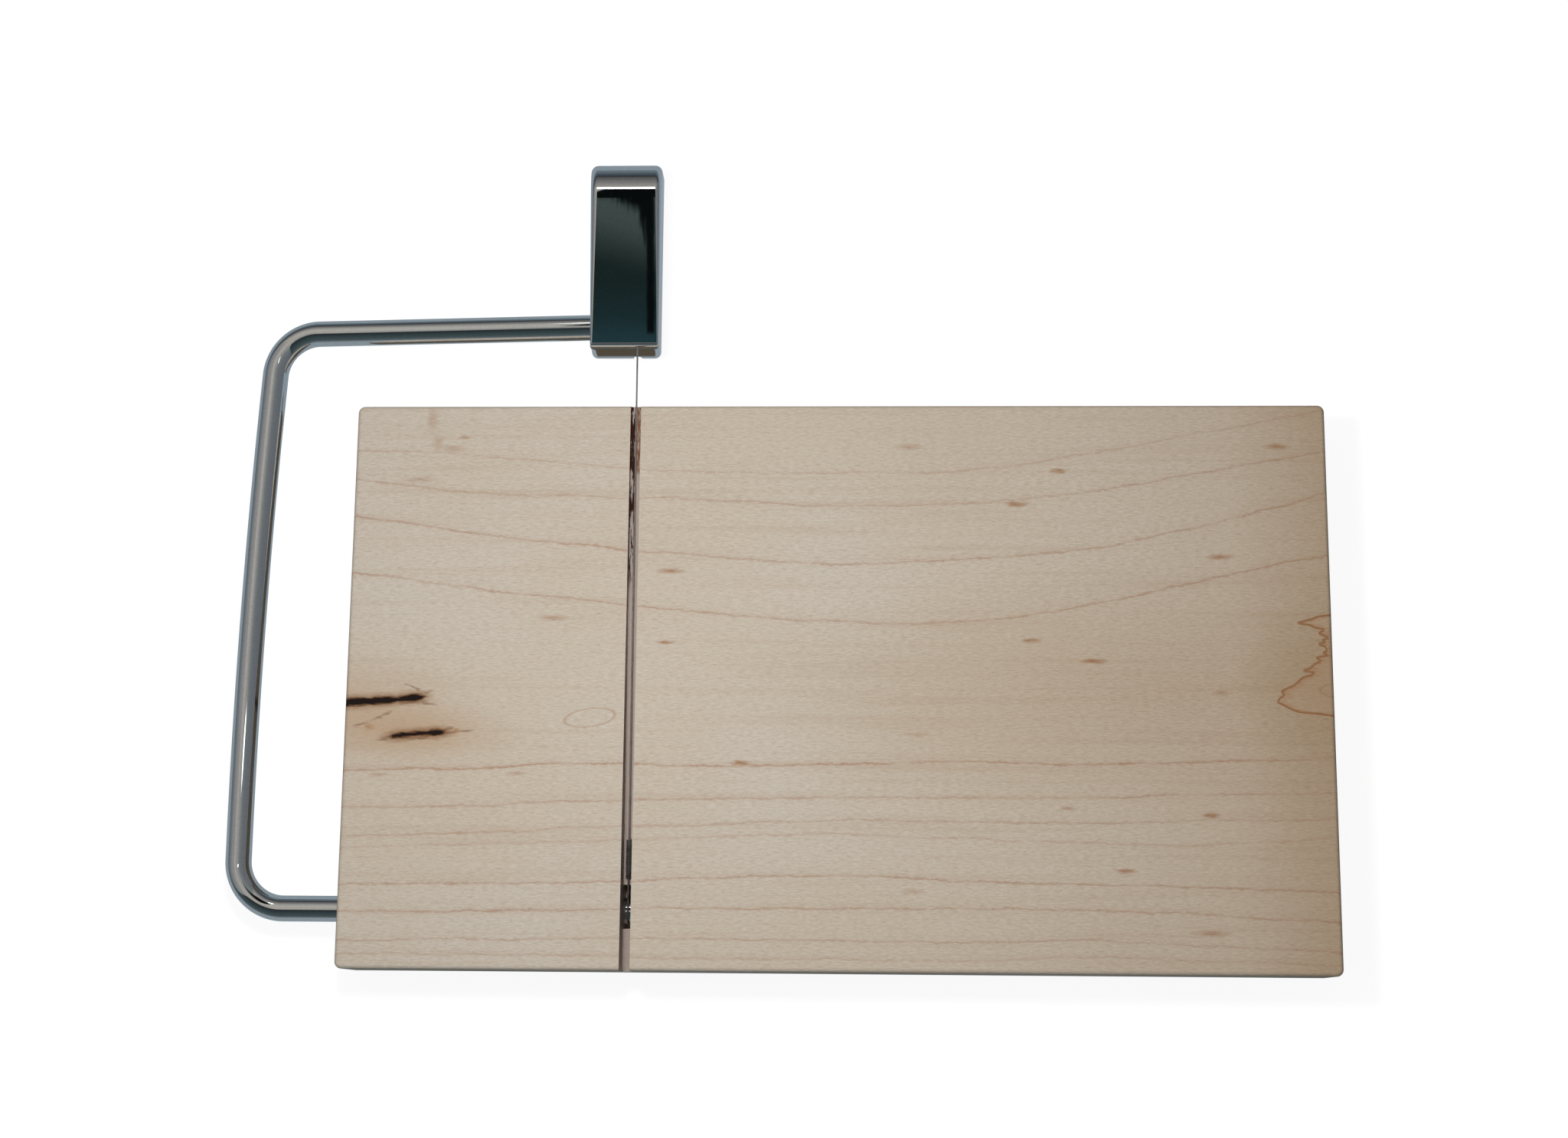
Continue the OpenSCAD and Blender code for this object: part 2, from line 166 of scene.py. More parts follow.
# The room that the plating reflects, by lean in degrees from straight up: to the right, and to the far side.
ROOM_ACROSS = (
    (-90, "#6E7478"), (-73, "#72787B"), (-60, "#85888A"), (-45, "#979797"), (-30, "#A29B98"), (-17, "#BFB6AC"),
    (-5, "#B0ACA6"), (8, "#939593"), (25, "#7D7F7F"), (45, "#74777B"), (70, "#6F747B"), (90, "#6C7176"))
ROOM_AHEAD = (
    (-90, "#72767A"), (-80, "#5C6568"), (-70, "#4C595B"), (-56, "#425153"), (-40, "#3B484A"), (-22, "#2E3538"),
    (-16, "#2E3133"), (-12, "#8F8E8C"), (-6, "#A8A4A0"), (3, "#C0BAB3"), (14, "#C0BBB2"), (29, "#B5AFA9"),
    (42, "#8E8A87"), (54, "#686665"), (58, "#5E5D5C"), (61, "#3C3F42"), (65, "#424950"), (76, "#626D74"),
    (90, "#7F8B93"))
# The dark patch straight above the handle, to the far side.
ROOM_OVERHEAD = (
    (3.2, "#2C454B"), (4.5, "#263E43"), (5.1, "#1F3134"), (5.9, "#1D2A29"), (7.9, "#1F2A28"), (8.3, "#4A3626"),
    (8.9, "#1C1613"), (12.0, "#141211"), (24.0, "#141517"))

# Fits and small details in mm, to match the part's source. In the board: how far the pocket for the wire's eye reaches
# to the near and far side of the hinge and below the wire; the hinge bore's play and how far it runs past the groove;
# the feet's screw holes; and how far in from the ends and edges the feet stand.
POCKET_NEAR, POCKET_FAR, POCKET_DEEP = 4.4, 6.2, 0.6
BORE_PLAY, BORE_PAST = 0.06, 23.0
SCREW_HOLE_R, SCREW_HOLE_DEEP = 1.7, 9.0
FEET_IN = (20.0, 26.0)
# A foot's rounded rim, its recess with a broken edge, and the broken edge at its top.
RIM_ROUND, RECESS_R, RECESS_EDGE, FOOT_EDGE = 0.8, 4.1, 0.25, 0.3
# The rod's straight legs start this far from its bends, and it stops this far short of the wire.
LEG_GAP, ROD_SHORT = 0.4, 1.7
# The handle's top stands this far to the right of its foot.
GRIP_ROLL = 0.85
# Inside the handle, off the arm's plane: the rod's boss from left of the middle to short of the wire, and its wall; the
# post of the wire's screw, left of the wire and from the near end, and its bore; the set screw's bore left of the
# middle; and the wire's notch.
BOSS_LEFT, BOSS_SHORT, BOSS_WALL = 7.6, 0.9, 1.5
POST_LEFT, POST_AT, POST_R, POST_Z = 1.75, 23.0, 2.9, (-3.9, 5.5)
POST_BORE_R, POST_BORE_Z = 1.5, (-5.0, 2.0)
SET_SCREW_LEFT, SET_SCREW_R, SET_SCREW_Z = 3.5, 2.0, (-7.0, -1.0)
NOTCH_R, NOTCH_TOP, NOTCH_FOOT = 1.0, -5.3, -9.0
# The wire: its gap to the board's far edge and between turns; the loop's height off the arm's plane, the lead from its
# middle, how far beyond that its turns begin, and how many; the angle at which the eye ends, how far along the wire and
# how far below it the eye closes, and where its turns begin and how many.
SEAT_GAP, TURN_GAP = 0.05, 0.02
LOOP_Z, LOOP_LEAD, LOOP_FROM, LOOP_TURNS = -4.15, 5.0, 1.0, 14
EYE_ENDS, EYE_CLOSED, EYE_BELOW, EYE_FROM, EYE_TURNS = 329, 6.0, 0.07, 8.1, 20


def linear(colour):
    """sRGB hex to linear red, green, blue and an alpha of one."""
    parts = [int(colour[i:i + 2], 16) / 255 for i in (1, 3, 5)]
    return [c / 12.92 if c <= 0.04045 else ((c + 0.055) / 1.055) ** 2.4 for c in parts] + [1.0]


def length(name, text, millimetres):
    return bpy.props.FloatProperty(
        name=name, description=text, default=millimetres * MM, min=0.0, subtype="DISTANCE", unit="LENGTH")


def angle(name, text, degrees):
    return bpy.props.FloatProperty(
        name=name, description=text, default=math.radians(degrees), subtype="ANGLE", unit="ROTATION")


def colour(name, text, default):
    return bpy.props.FloatVectorProperty(
        name=name, description=text, default=linear(default)[:3], size=3, min=0, max=1, subtype="COLOR")


class CutterSizes(bpy.types.PropertyGroup):
    """Sizes that a maker would change."""
    edge_round: length("Board edge", "Rounding of the board's long edges", 1.1)
    corner_round: length("Board corner", "Rounding of the board's upright corners", 1.7)
    groove_at: length("Groove place", "Distance of the groove from the board's left end", 70.2)
    groove_wide: length("Groove width", "Width of the groove", 2.6)
    groove_far: length("Groove far depth", "Depth of the groove at the far edge", 1.4)
    groove_near: length("Groove near depth", "Depth of the groove at the near edge", 8.2)
    hinge_y: length("Hinge place", "Distance of the hinge from the near edge", 14.66)
    hinge_depth: length("Hinge depth", "Depth of the hinge end beyond the groove", 22.0)
    rod: length("Rod diameter", "Diameter of the rod", 6.35)
    bend: length("Bend radius", "Centre-line radius of both bends", 11.0)
    arm_out: length("Arm reach", "Distance of the lower corner from the board's left end", 26.8)
    arm_bow: length("Arm bow", "How far the arm bows out between its bends", 1.35)
    lower_bend: angle("Lower bend", "Inside angle of the lower bend", 87.0)
    upper_bend: angle("Upper bend", "Inside angle of the upper bend", 94.2)
    rest_tilt: angle("Rest tilt", "Lift of the lowered arm from level", 6.0)
    wire: length("Wire diameter", "Diameter of the cutting wire", 0.45)
    grip_gap: length("Handle gap", "Gap between the board and the handle", 12.9)
    grip_shift: length("Handle shift", "Distance of the handle's centre line to the left of the wire", 2.6)
    grip_length: length("Handle length", "Length of the handle", 47.6)
    grip_near: length("Handle near width", "Width of the handle's near end", 17.2)
    grip_far: length("Handle far width", "Width of the handle's far end", 17.9)
    grip_up: length("Handle top", "Height from the rod's centre to the handle's top", 6.48)
    grip_down: length("Handle rim", "Height from the rod's centre to the handle's rim", 7.5)
    grip_wall: length("Handle wall", "Wall of the casting", 2.0)
    rod_inset: length("Rod inset", "Distance of the rod from the handle's near end", 6.65)
    foot: length("Foot diameter", "Diameter of a rubber foot", 14.0)


class CutterColours(bpy.types.PropertyGroup):
    """Colours that a maker would change."""
    maple: colour("Maple", "Pale sapwood of the board", "#D3C9BB")
    growth: colour("Growth line", "Reddish late wood", "#AC8064")
    bark: colour("Bark", "Bark pockets", "#1C100C")
    plating: colour("Plating", "Bright nickel and chrome", "#DDE1E3")
    wire: colour("Wire", "Drawn stainless steel", "#B9B8B4")
    rubber: colour("Rubber", "Feet", "#2C2C2D")
    backdrop: colour("Backdrop", "Floor and backdrop", "#FFFFFF")


def sizes():
    """The sizes: lengths in millimetres and angles in radians."""
    group = bpy.context.scene.cutter_sizes
    turned = [n for n in group.__annotations__ if group.bl_rna.properties[n].subtype == "ANGLE"]
    return SimpleNamespace(**{n: getattr(group, n) if n in turned else round(getattr(group, n) / MM, 4)
                              for n in group.__annotations__})


def tint(name):
    """One of the colours with an alpha of one."""
    return list(getattr(bpy.context.scene.cutter_colours, name)) + [1.0]


def place(points):
    """Board frame in millimetres (from the board's left, near corner on the feet's plane) to metres."""
    return np.asarray(points, float) * MM + np.array([BOARD_LO.x, BOARD_LO.y, 0.0])


def in_arm(points):
    """Arm frame in millimetres (x from the board's left end, y from the hinge, z off the arm's plane) to metres: the
    arm's plane is lifted by the rest tilt about the hinge."""
    p, s = np.asarray(points, float), sizes()
    c, r = math.cos(s.rest_tilt), math.sin(s.rest_tilt)
    y = s.hinge_y + p[..., 1] * c - p[..., 2] * r
    z = HINGE_Z + p[..., 1] * r + p[..., 2] * c
    return place(np.stack([p[..., 0], y, z], axis=-1))


def show(name, data):
    """A new object in the scene for a mesh, camera or lamp."""
    obj = bpy.data.objects.new(name, data)
    bpy.context.scene.collection.objects.link(obj)
    return obj


def mesh_piece(name, verts, faces, sharp=40.0):
    """A piece from arrays of vertices in metres and faces, closed, facing out and smooth up to the sharp angle."""
    mesh = bpy.data.meshes.new(name)
    mesh.from_pydata(np.asarray(verts, float).tolist(), [], [list(map(int, f)) for f in faces])
    tidy = bmesh.new()
    tidy.from_mesh(mesh)
    bmesh.ops.remove_doubles(tidy, verts=tidy.verts, dist=1e-7)
    bmesh.ops.recalc_face_normals(tidy, faces=tidy.faces)
    tidy.to_mesh(mesh)
    tidy.free()
    obj = show(name, mesh)
    smooth(obj, sharp)
    return obj


def smooth(obj, sharp):
    mesh = obj.data
    mesh.polygons.foreach_set("use_smooth", np.ones(len(mesh.polygons), bool))
    mesh.set_sharp_from_angle(angle=math.radians(sharp))
    mesh.update()


def weigh(obj):
    """Flat faces keep their own normal where a rounding meets them."""
    mod = obj.modifiers.new("weighted", "WEIGHTED_NORMAL")
    mod.keep_sharp = True
    mod.weight = 100


def grid_faces(rows, cols, close_rows=False, close_cols=False):
    """Quads of a grid whose vertices are numbered row by row."""
    i = np.arange(rows if close_rows else rows - 1)[:, None]
    j = np.arange(cols if close_cols else cols - 1)[None, :]
    a, b = (i % rows) * cols, ((i + 1) % rows) * cols
    k = (j + 1) % cols
    return np.stack([a + j, b + j, b + k, a + k], axis=-1).reshape(-1, 4)


def tube(path, radius, sides, ends=()):
    """A round tube: at each station of the path a circle of the radius lies square to the path. The circle's start is
    carried from station to station without twist. ends gives (shift, share of radius) rings beyond both ends."""
    path = np.asarray(path, float)
    ahead = np.gradient(path, axis=0)
    ahead /= np.linalg.norm(ahead, axis=1, keepdims=True)
    side = np.zeros_like(path)
    u = np.array([0.31, 0.2, 0.93])
    for i, t in enumerate(ahead):
        u = u - u.dot(t) * t
        u /= np.linalg.norm(u)
        side[i] = u
    radii = np.full(len(path), float(radius))
    for shift, share in ends:
        path = np.vstack([path[:1] - ahead[:1] * shift, path, path[-1:] + ahead[-1:] * shift])
        ahead, side = np.pad(ahead, ((1, 1), (0, 0)), "edge"), np.pad(side, ((1, 1), (0, 0)), "edge")
        radii = np.concatenate([[radius * share], radii, [radius * share]])
    up = np.cross(ahead, side)
    a = np.linspace(0, 2 * np.pi, sides, endpoint=False)[None, :, None]
    rings = path[:, None] + radii[:, None, None] * (np.cos(a) * side[:, None] + np.sin(a) * up[:, None])
    faces = grid_faces(len(path), sides, close_cols=True).tolist()
    faces += [list(range(sides)), list(range((len(path) - 1) * sides, len(path) * sides))]
    return rings.reshape(-1, 3), faces


def lathe(profile, turns=48):
    """A profile of (radius, height) turned about the z axis; a zero radius closes to a pole."""
    profile = np.asarray(profile, float)
    a = np.linspace(0, 2 * np.pi, turns, endpoint=False)
    ring = np.stack([np.cos(a), np.sin(a)], axis=-1)
    rows = np.concatenate(
        [profile[:, None, :1] * ring[None], np.broadcast_to(profile[:, None, 1:], (len(profile), turns, 1))], axis=-1)
    faces = grid_faces(len(profile), turns, close_cols=True).tolist()
    return rows.reshape(-1, 3), faces


def arc(centre, radius, u, v, start, end, steps):
    """Points round a centre: cosine along u and sine along v, from the start angle to the end angle in degrees."""
    t = np.radians(np.linspace(start, end, steps + 1))[:, None]
    return np.asarray(centre) + radius * (np.cos(t) * np.asarray(u) + np.sin(t) * np.asarray(v))


def casting(near_w, far_w, y0, y1, top, bottom, near_r, far_r, side_r, draft=0.0, lean_in=0.0, roll=0.0, steps=12):
    """A closed casting. Its outline in the y-z plane is a near wall that leans in by the draft, a quarter ellipse of
    half axes near_r, a level top, a quarter ellipse of half axes far_r and an upright far wall; both sides lean in by
    lean_in from foot to top, and the top stands to the right of the foot by the roll. Across x each station has a
    quarter-round rim, whose radius r is side_r's first value down the near wall, its second at the near round and
    grows evenly to its third at the far end; its points stand off the outline by r * (1 - sin) and off the side by
    r * (1 - cos)."""
    def quarter(wall, inward, radii, across, up):
        """A quarter ellipse's points and outward directions from the cosine and sine of its angle."""
        points = np.stack([wall + inward * radii[0] * (1 - across), top - radii[1] * (1 - up)], axis=-1)
        out = np.stack([-inward * across / radii[0], up / radii[1]], axis=-1)
        return points, out / np.linalg.norm(out, axis=1, keepdims=True)

    lean = math.atan2(draft, top - bottom)
    u = np.linspace(math.atan2(near_r[1] * math.sin(lean), near_r[0] * math.cos(lean)), np.pi / 2, steps + 1)
    near, near_n = quarter(y0 + draft, 1, near_r, np.cos(u), np.sin(u))
    u = np.linspace(0, np.pi / 2, 3 * steps + 1)
    far, far_n = quarter(y1, -1, far_r, np.sin(u), np.cos(u))
    line = np.vstack([[[y0, bottom]], [0.15 * np.array([y0, bottom]) + 0.85 * near[0]], near, far, [[y1, bottom]]])
    out = np.vstack([near_n[:1], near_n[:1], near_n, far_n, [[1.0, 0.0]]])
    share = np.clip((line[:, 0] - y0) / (y1 - y0), 0, 1)[:, None]
    half = (near_w + (far_w - near_w) * share) / 2
    rim = side_r[1] + (side_r[2] - side_r[1]) * share
    rim[:2] = side_r[0]
    t = np.linspace(0, np.pi / 2, steps // 2 + 1)[None, :]
    off, along = rim * (1 - np.sin(t)), half - rim * (1 - np.cos(t))
    body = line[:, None, :] - out[:, None, :] * off[..., None]
    left = np.concatenate([-along[..., None], body], axis=-1)
    down = (top - left[..., 2]) / (top - bottom)
    left[..., 0] *= 1 + lean_in * (down - 0.4) / (near_w / 2)
    ribs = np.concatenate([left, (left * [-1, 1, 1])[:, ::-1]], axis=1)
    ribs[..., 0] += roll * (0.6 - (top - ribs[..., 2]) / (top - bottom))
    rows, cols = ribs.shape[:2]
    faces = grid_faces(rows, cols).tolist()
    faces.append([i * cols for i in range(rows)])
    faces.append([i * cols + cols - 1 for i in range(rows)][::-1])
    faces.append(list(range(cols)) + [(rows - 1) * cols + j for j in range(cols)][::-1])
    return ribs.reshape(-1, 3), faces


def round_box(lo, hi, corner, edge, steps=8):
    """A box with upright corners rounded in plan and its top and bottom edges rounded: each level is the rounded
    rectangle drawn in by edge * (1 - cos), at a height of edge * (1 - sin) from the face."""
    lo, hi = np.asarray(lo, float), np.asarray(hi, float)
    q = np.linspace(0, np.pi / 2, steps + 1)
    turn = np.concatenate([q, q + np.pi / 2, q + np.pi, q + 3 * np.pi / 2])
    sign = np.repeat(np.array([[1, 1], [-1, 1], [-1, -1], [1, -1]]), steps + 1, axis=0)
    out = np.stack([np.cos(turn), np.sin(turn)], axis=-1)
    middle, half = (lo + hi)[:2] / 2, (hi - lo)[:2] / 2 - corner
    t = np.linspace(0, np.pi / 2, steps + 1)
    levels = [(edge * (1 - math.sin(v)), lo[2] + edge * (1 - math.cos(v))) for v in t]
    levels += [(edge * (1 - math.cos(v)), hi[2] - edge * (1 - math.sin(v))) for v in t]
    rings = [np.column_stack([middle + sign * half + out * (corner - inset), np.full(len(turn), z)])
             for inset, z in levels]
    rows, cols = len(rings), len(turn)
    faces = grid_faces(rows, cols, close_cols=True).tolist()
    faces += [list(range(cols)), list(range((rows - 1) * cols, rows * cols))]
    return np.concatenate(rings), faces


def prism(outline, axis, start, end):
    """A flat outline carried straight along one axis, with both ends closed."""
    outline = np.asarray(outline, float)
    n = len(outline)
    ends = [np.insert(outline, axis, at, axis=1) for at in (start, end)]
    faces = [[i, (i + 1) % n, n + (i + 1) % n, n + i] for i in range(n)]
    return np.concatenate(ends), faces + [list(range(n)), list(range(n, 2 * n))]


def cut(obj, tools, how="DIFFERENCE"):
    """Takes the tools out of a piece, or joins them to it, and keeps the finished mesh."""
    for tool in tools:
        mod = obj.modifiers.new("cut", "BOOLEAN")
        mod.operation, mod.solver, mod.object = how, "EXACT", tool
        graph = bpy.context.evaluated_depsgraph_get()
        made = bpy.data.meshes.new_from_object(obj.evaluated_get(graph))
        obj.modifiers.remove(mod)
        old, obj.data = obj.data, made
        made.name = obj.name
        bpy.data.meshes.remove(old)
        shape = tool.data
        bpy.data.objects.remove(tool)
        bpy.data.meshes.remove(shape)


def node(tree, kind, *feeds, out="", **more):
    """Adds one node and gives its first output, or the one that out names. A kind in capitals is that operation of a
    Math node; a sum, product, greatest or least of many feeds is chained. feeds are its inputs in order, and those
    left over are a ramp's stops of place and value or colour. In more, small letters name its settings, and capitals
    its inputs with _ for a space. A socket is linked, a hex colour is turned to linear, and the rest is set."""
    if kind in ("ADD", "MULTIPLY", "MAXIMUM", "MINIMUM") and len(feeds) > 2:
        feeds = (node(tree, kind, *feeds[:-1]), feeds[-1])
    if kind.isupper():
        kind, more = "Math", {"operation": kind}
    elif kind == "Mix":
        more = {"data_type": "RGBA", **more}
    made = tree.nodes.new("ShaderNode" + kind)
    for name in [n for n in more if n.islower()]:
        setattr(made, name, more.pop(name))
    spots = [spot for spot in made.inputs if spot.enabled]
    for spot, value in [*zip(spots, feeds), *((made.inputs[n.replace("_", " ")], v) for n, v in more.items())]:
        if isinstance(value, bpy.types.NodeSocket):
            tree.links.new(value, spot)
        else:
            spot.default_value = linear(value) if isinstance(value, str) else value
    for i, (place_at, value) in enumerate(feeds[len(spots):]):
        stops = made.color_ramp.elements
        if i == 0:
            stops.remove(stops[-1])
        stop = stops.new(place_at) if i else stops[0]
        stop.position = place_at
        stop.color = linear(value) if isinstance(value, str) else (value, value, value, 1.0)
    return made.outputs[out] if out else next((spot for spot in made.outputs if spot.enabled), None)


def nodes_of(owner):
    """Empties the nodes of a material or the world, and gives what adds nodes to them."""
    owner.use_nodes = True
    owner.node_tree.nodes.clear()
    return partial(node, owner.node_tree)


def material(name):
    """An empty material, and what adds nodes to it."""
    made = bpy.data.materials.new(name)
    return made, nodes_of(made)


def maple():
    """Hard maple, planed, sanded and oiled: pale, close-grained sapwood with thin reddish growth lines, short silky
    dashes 1 to 2 mm long, gum flecks, two bark pockets near the left end and a flame figure at the right end."""
    made, put = material("maple_sanded_oiled")
    s = sizes()
    long_x, wide_y, thick = BOARD
    # millimetres from the board's left near corner and its underside
    at = put("Mapping", put("TexCoord", out="Object"), Location=BOARD_LO, Scale=(MM, MM, MM), vector_type="TEXTURE")
    x, y, z = put("SeparateXYZ", at).node.outputs
    share_x = put("DIVIDE", x, long_x)

    def grain(scale, detail=2.0, rough=0.5, twist=0.0, out="Fac"):
        """A mottle whose features are 1 / scale mm long on each axis."""
        return put("TexNoise", put("VectorMath", at, scale, operation="MULTIPLY"), Scale=1.0, Detail=detail,
                   Roughness=rough, Distortion=twist, out=out)

    def track(value, stations, straight=False):
        """A curve through (place, height) pairs, both from nought to one."""
        height = put("FloatCurve", Value=value)
        mapping = height.node.mapping
        points = mapping.curves[0].points
        points[0].location, points[-1].location = stations[0], stations[-1]
        for station in stations[1:-1]:
            points.new(*station)
        for point in points if straight else ():
            point.handle_type = "VECTOR"
        mapping.update()
        return height

    def patch(centre, half, source=at, turn=0.0):
        """A soft ellipse through the whole thickness: one in its middle and nought at its rim."""
        moved = put("Mapping", source, Location=(*centre, 0.0), Rotation=(0.0, 0.0, turn), Scale=(*half, 1e4),
                    vector_type="TEXTURE")
        return put("TexGradient", moved, gradient_type="SPHERICAL", out="Fac")

    # Growth lines dip through the thickness, so they cross the board's edges aslant. They wander by about 0.6 mm over
    # 12 mm and by 0.3 mm over 1 mm, and fade in and out along their length.
    ring = put("ADD", y, put("MULTIPLY_ADD", z, -RING_DIP, RING_DIP * thick))
    ring = put("MULTIPLY_ADD", grain((0.085, 0.2, 0.2)), 1.6, ring)
    ring = put("MULTIPLY_ADD", grain((0.7, 1.3, 1.3), 3.0, 0.6), 1.3, ring)
    ring = put("MULTIPLY_ADD", put("SUBTRACT", ring, 1.45), 1 / RING_REACH, 0.5)
    lines = []
    for stations, dark in GROWTH_LINES:
        level = track(share_x, [(i / (len(stations) - 1), v / wide_y) for i, v in enumerate(stations)])
        apart = put("MULTIPLY_ADD", level, -wide_y / RING_REACH, ring)
        lines.append(put("ValToRGB", apart, *((place_at, share * dark) for place_at, share in RING_PROFILE)))
    lines = put("MULTIPLY", put("MAXIMUM", *lines),
                put("ValToRGB", grain((0.11, 0.5, 0.5), 3.0, 0.6), (0.32, 0.25), (0.58, 0.68)))

    # The edges of the marks wander by up to half a millimetre across the grain and twice that along it.
    wobble = put("VectorMath", grain((0.45, 1.7, 1.7), 4.0, 0.65, out="Color"), (0.5, 0.5, 0.5), operation="SUBTRACT")
    rough_at = put("VectorMath", wobble, (3.0, 1.2, 0.0), at, operation="MULTIPLY_ADD")
    strokes = put("ValToRGB", grain((0.5, 5.0, 5.0), 3.0, 0.6), (0.35, 0.5), (0.55, 1.0))
    flecks = put("MAXIMUM", *(
        put("MULTIPLY", patch((fleck_x, fleck_y), (half_x * 1.2, half_y * 1.6), rough_at), dark * 1.5)
        for fleck_x, fleck_y, half_x, half_y, dark in GUM_FLECKS))

    marks = {name: mark_at(name) for name in ("bark_streak", "second_streak", "oval_eye")}
    first, second, eye = marks.values()
    halo = put("ADD", patch((first[0] - 7, first[1] - 3), (34, 16), rough_at),
               patch((second[0] + 1, second[1]), (26, 8), rough_at))

    def streaks(lenses, grow, *stops):
        """Tapering streaks between two points each, all widened by grow, and how strong they are from rim to middle."""
        shares = []
        for mark, rows in lenses.items():
            for x0, y0, x1, y1, half in rows:
                centre = marks[mark][0] + (x0 + x1) / 2, marks[mark][1] + (y0 + y1) / 2
                halves = math.hypot(x1 - x0, y1 - y0) / 2 + 2 * grow, half + grow
                shares.append(patch(centre, halves, rough_at, math.atan2(y1 - y0, x1 - x0)))
        return put("ValToRGB", put("MAXIMUM", *shares), *stops)

    # A ragged flame figure runs out of the right end: its line lies where the edge passes x within 0.25 mm of y.
    (flame_near, flame_far), (flame_left, flame_right) = FLAME_BOX
    edges = []
    for shift in (-0.25, 0.0, 0.25):
        share = put("MapRange", put("ADD", y, shift), flame_near, flame_far)
        inner = [((edge_y - flame_near) / (flame_far - flame_near), (edge_x - flame_left) / (flame_right - flame_left))
                 for edge_y, edge_x in FLAME_EDGE]
        edges.append(put("MULTIPLY_ADD", track(share, [(0, 1.2), *inner, (1, 1.2)], True),
                         flame_right - flame_left, flame_left))
    rightmost = put("MAXIMUM", *edges)
    after = put("MapRange", put("SUBTRACT", x, put("MINIMUM", *edges)), -0.2, 0.0)
    before = put("MapRange", put("SUBTRACT", rightmost, x), -0.2, 0.0)
    inward = put("MapRange", put("SUBTRACT", x, rightmost), 3.0, 0.0)
    hatch = put("ValToRGB", grain((0.5, 2.4, 2.4), 3.0, 0.7), (0.4, 0.1), (0.62, 0.75))

    # The groove's own faces look up or aside, unlike the board's edges and underside below it. The saw leaves them
    # pinkish grey, scorched black left of the wire and brown right of it near the far edge.
    facing = put("SeparateXYZ", put("NewGeometry", out="True Normal")).node.outputs
    to_side = put("ABSOLUTE", facing[0])
    aside = put("SUBTRACT", x, s.groove_at)
    groove = put("MULTIPLY", put("LESS_THAN", put("ABSOLUTE", aside), s.groove_wide / 2 + 0.01),
                 put("LESS_THAN", z, thick - 0.12), put("GREATER_THAN", put("ADD", to_side, facing[2]), 0.5))
    far = put("ValToRGB", put("DIVIDE", y, wide_y), (0.66, 0.0), (0.74, 0.5), (0.87, 0.75), (0.89, 1.0))
    burn = put("ValToRGB", put("MULTIPLY_ADD", far, 0.14, grain((1.5, 0.17, 1.2), 4.0, 0.7)), (0.54, 0.0), (0.6, 1.0))
    burn = put("MULTIPLY", burn, put("ValToRGB", far, (0.0, 0.0), (0.3, 1.0)), put("MapRange", aside, 0.1, -0.3))
    brown = put("MULTIPLY", put("ValToRGB", grain((2.0, 0.5, 2.0), 3.0, 0.6), (0.38, 0.15), (0.54, 0.95)),
                put("MULTIPLY", put("ValToRGB", far, (0.8, 0.0), (0.95, 1.0)), put("MapRange", aside, 0.1, 0.35)))
    sawn = put("Mix", grain((1.6, 1.6, 1.6), 4.0, 0.7), "#C2B4A8", "#A3928A")
    sawn = put("Mix", brown, put("Mix", burn, sawn, "#3A1E14"), "#7D5033")

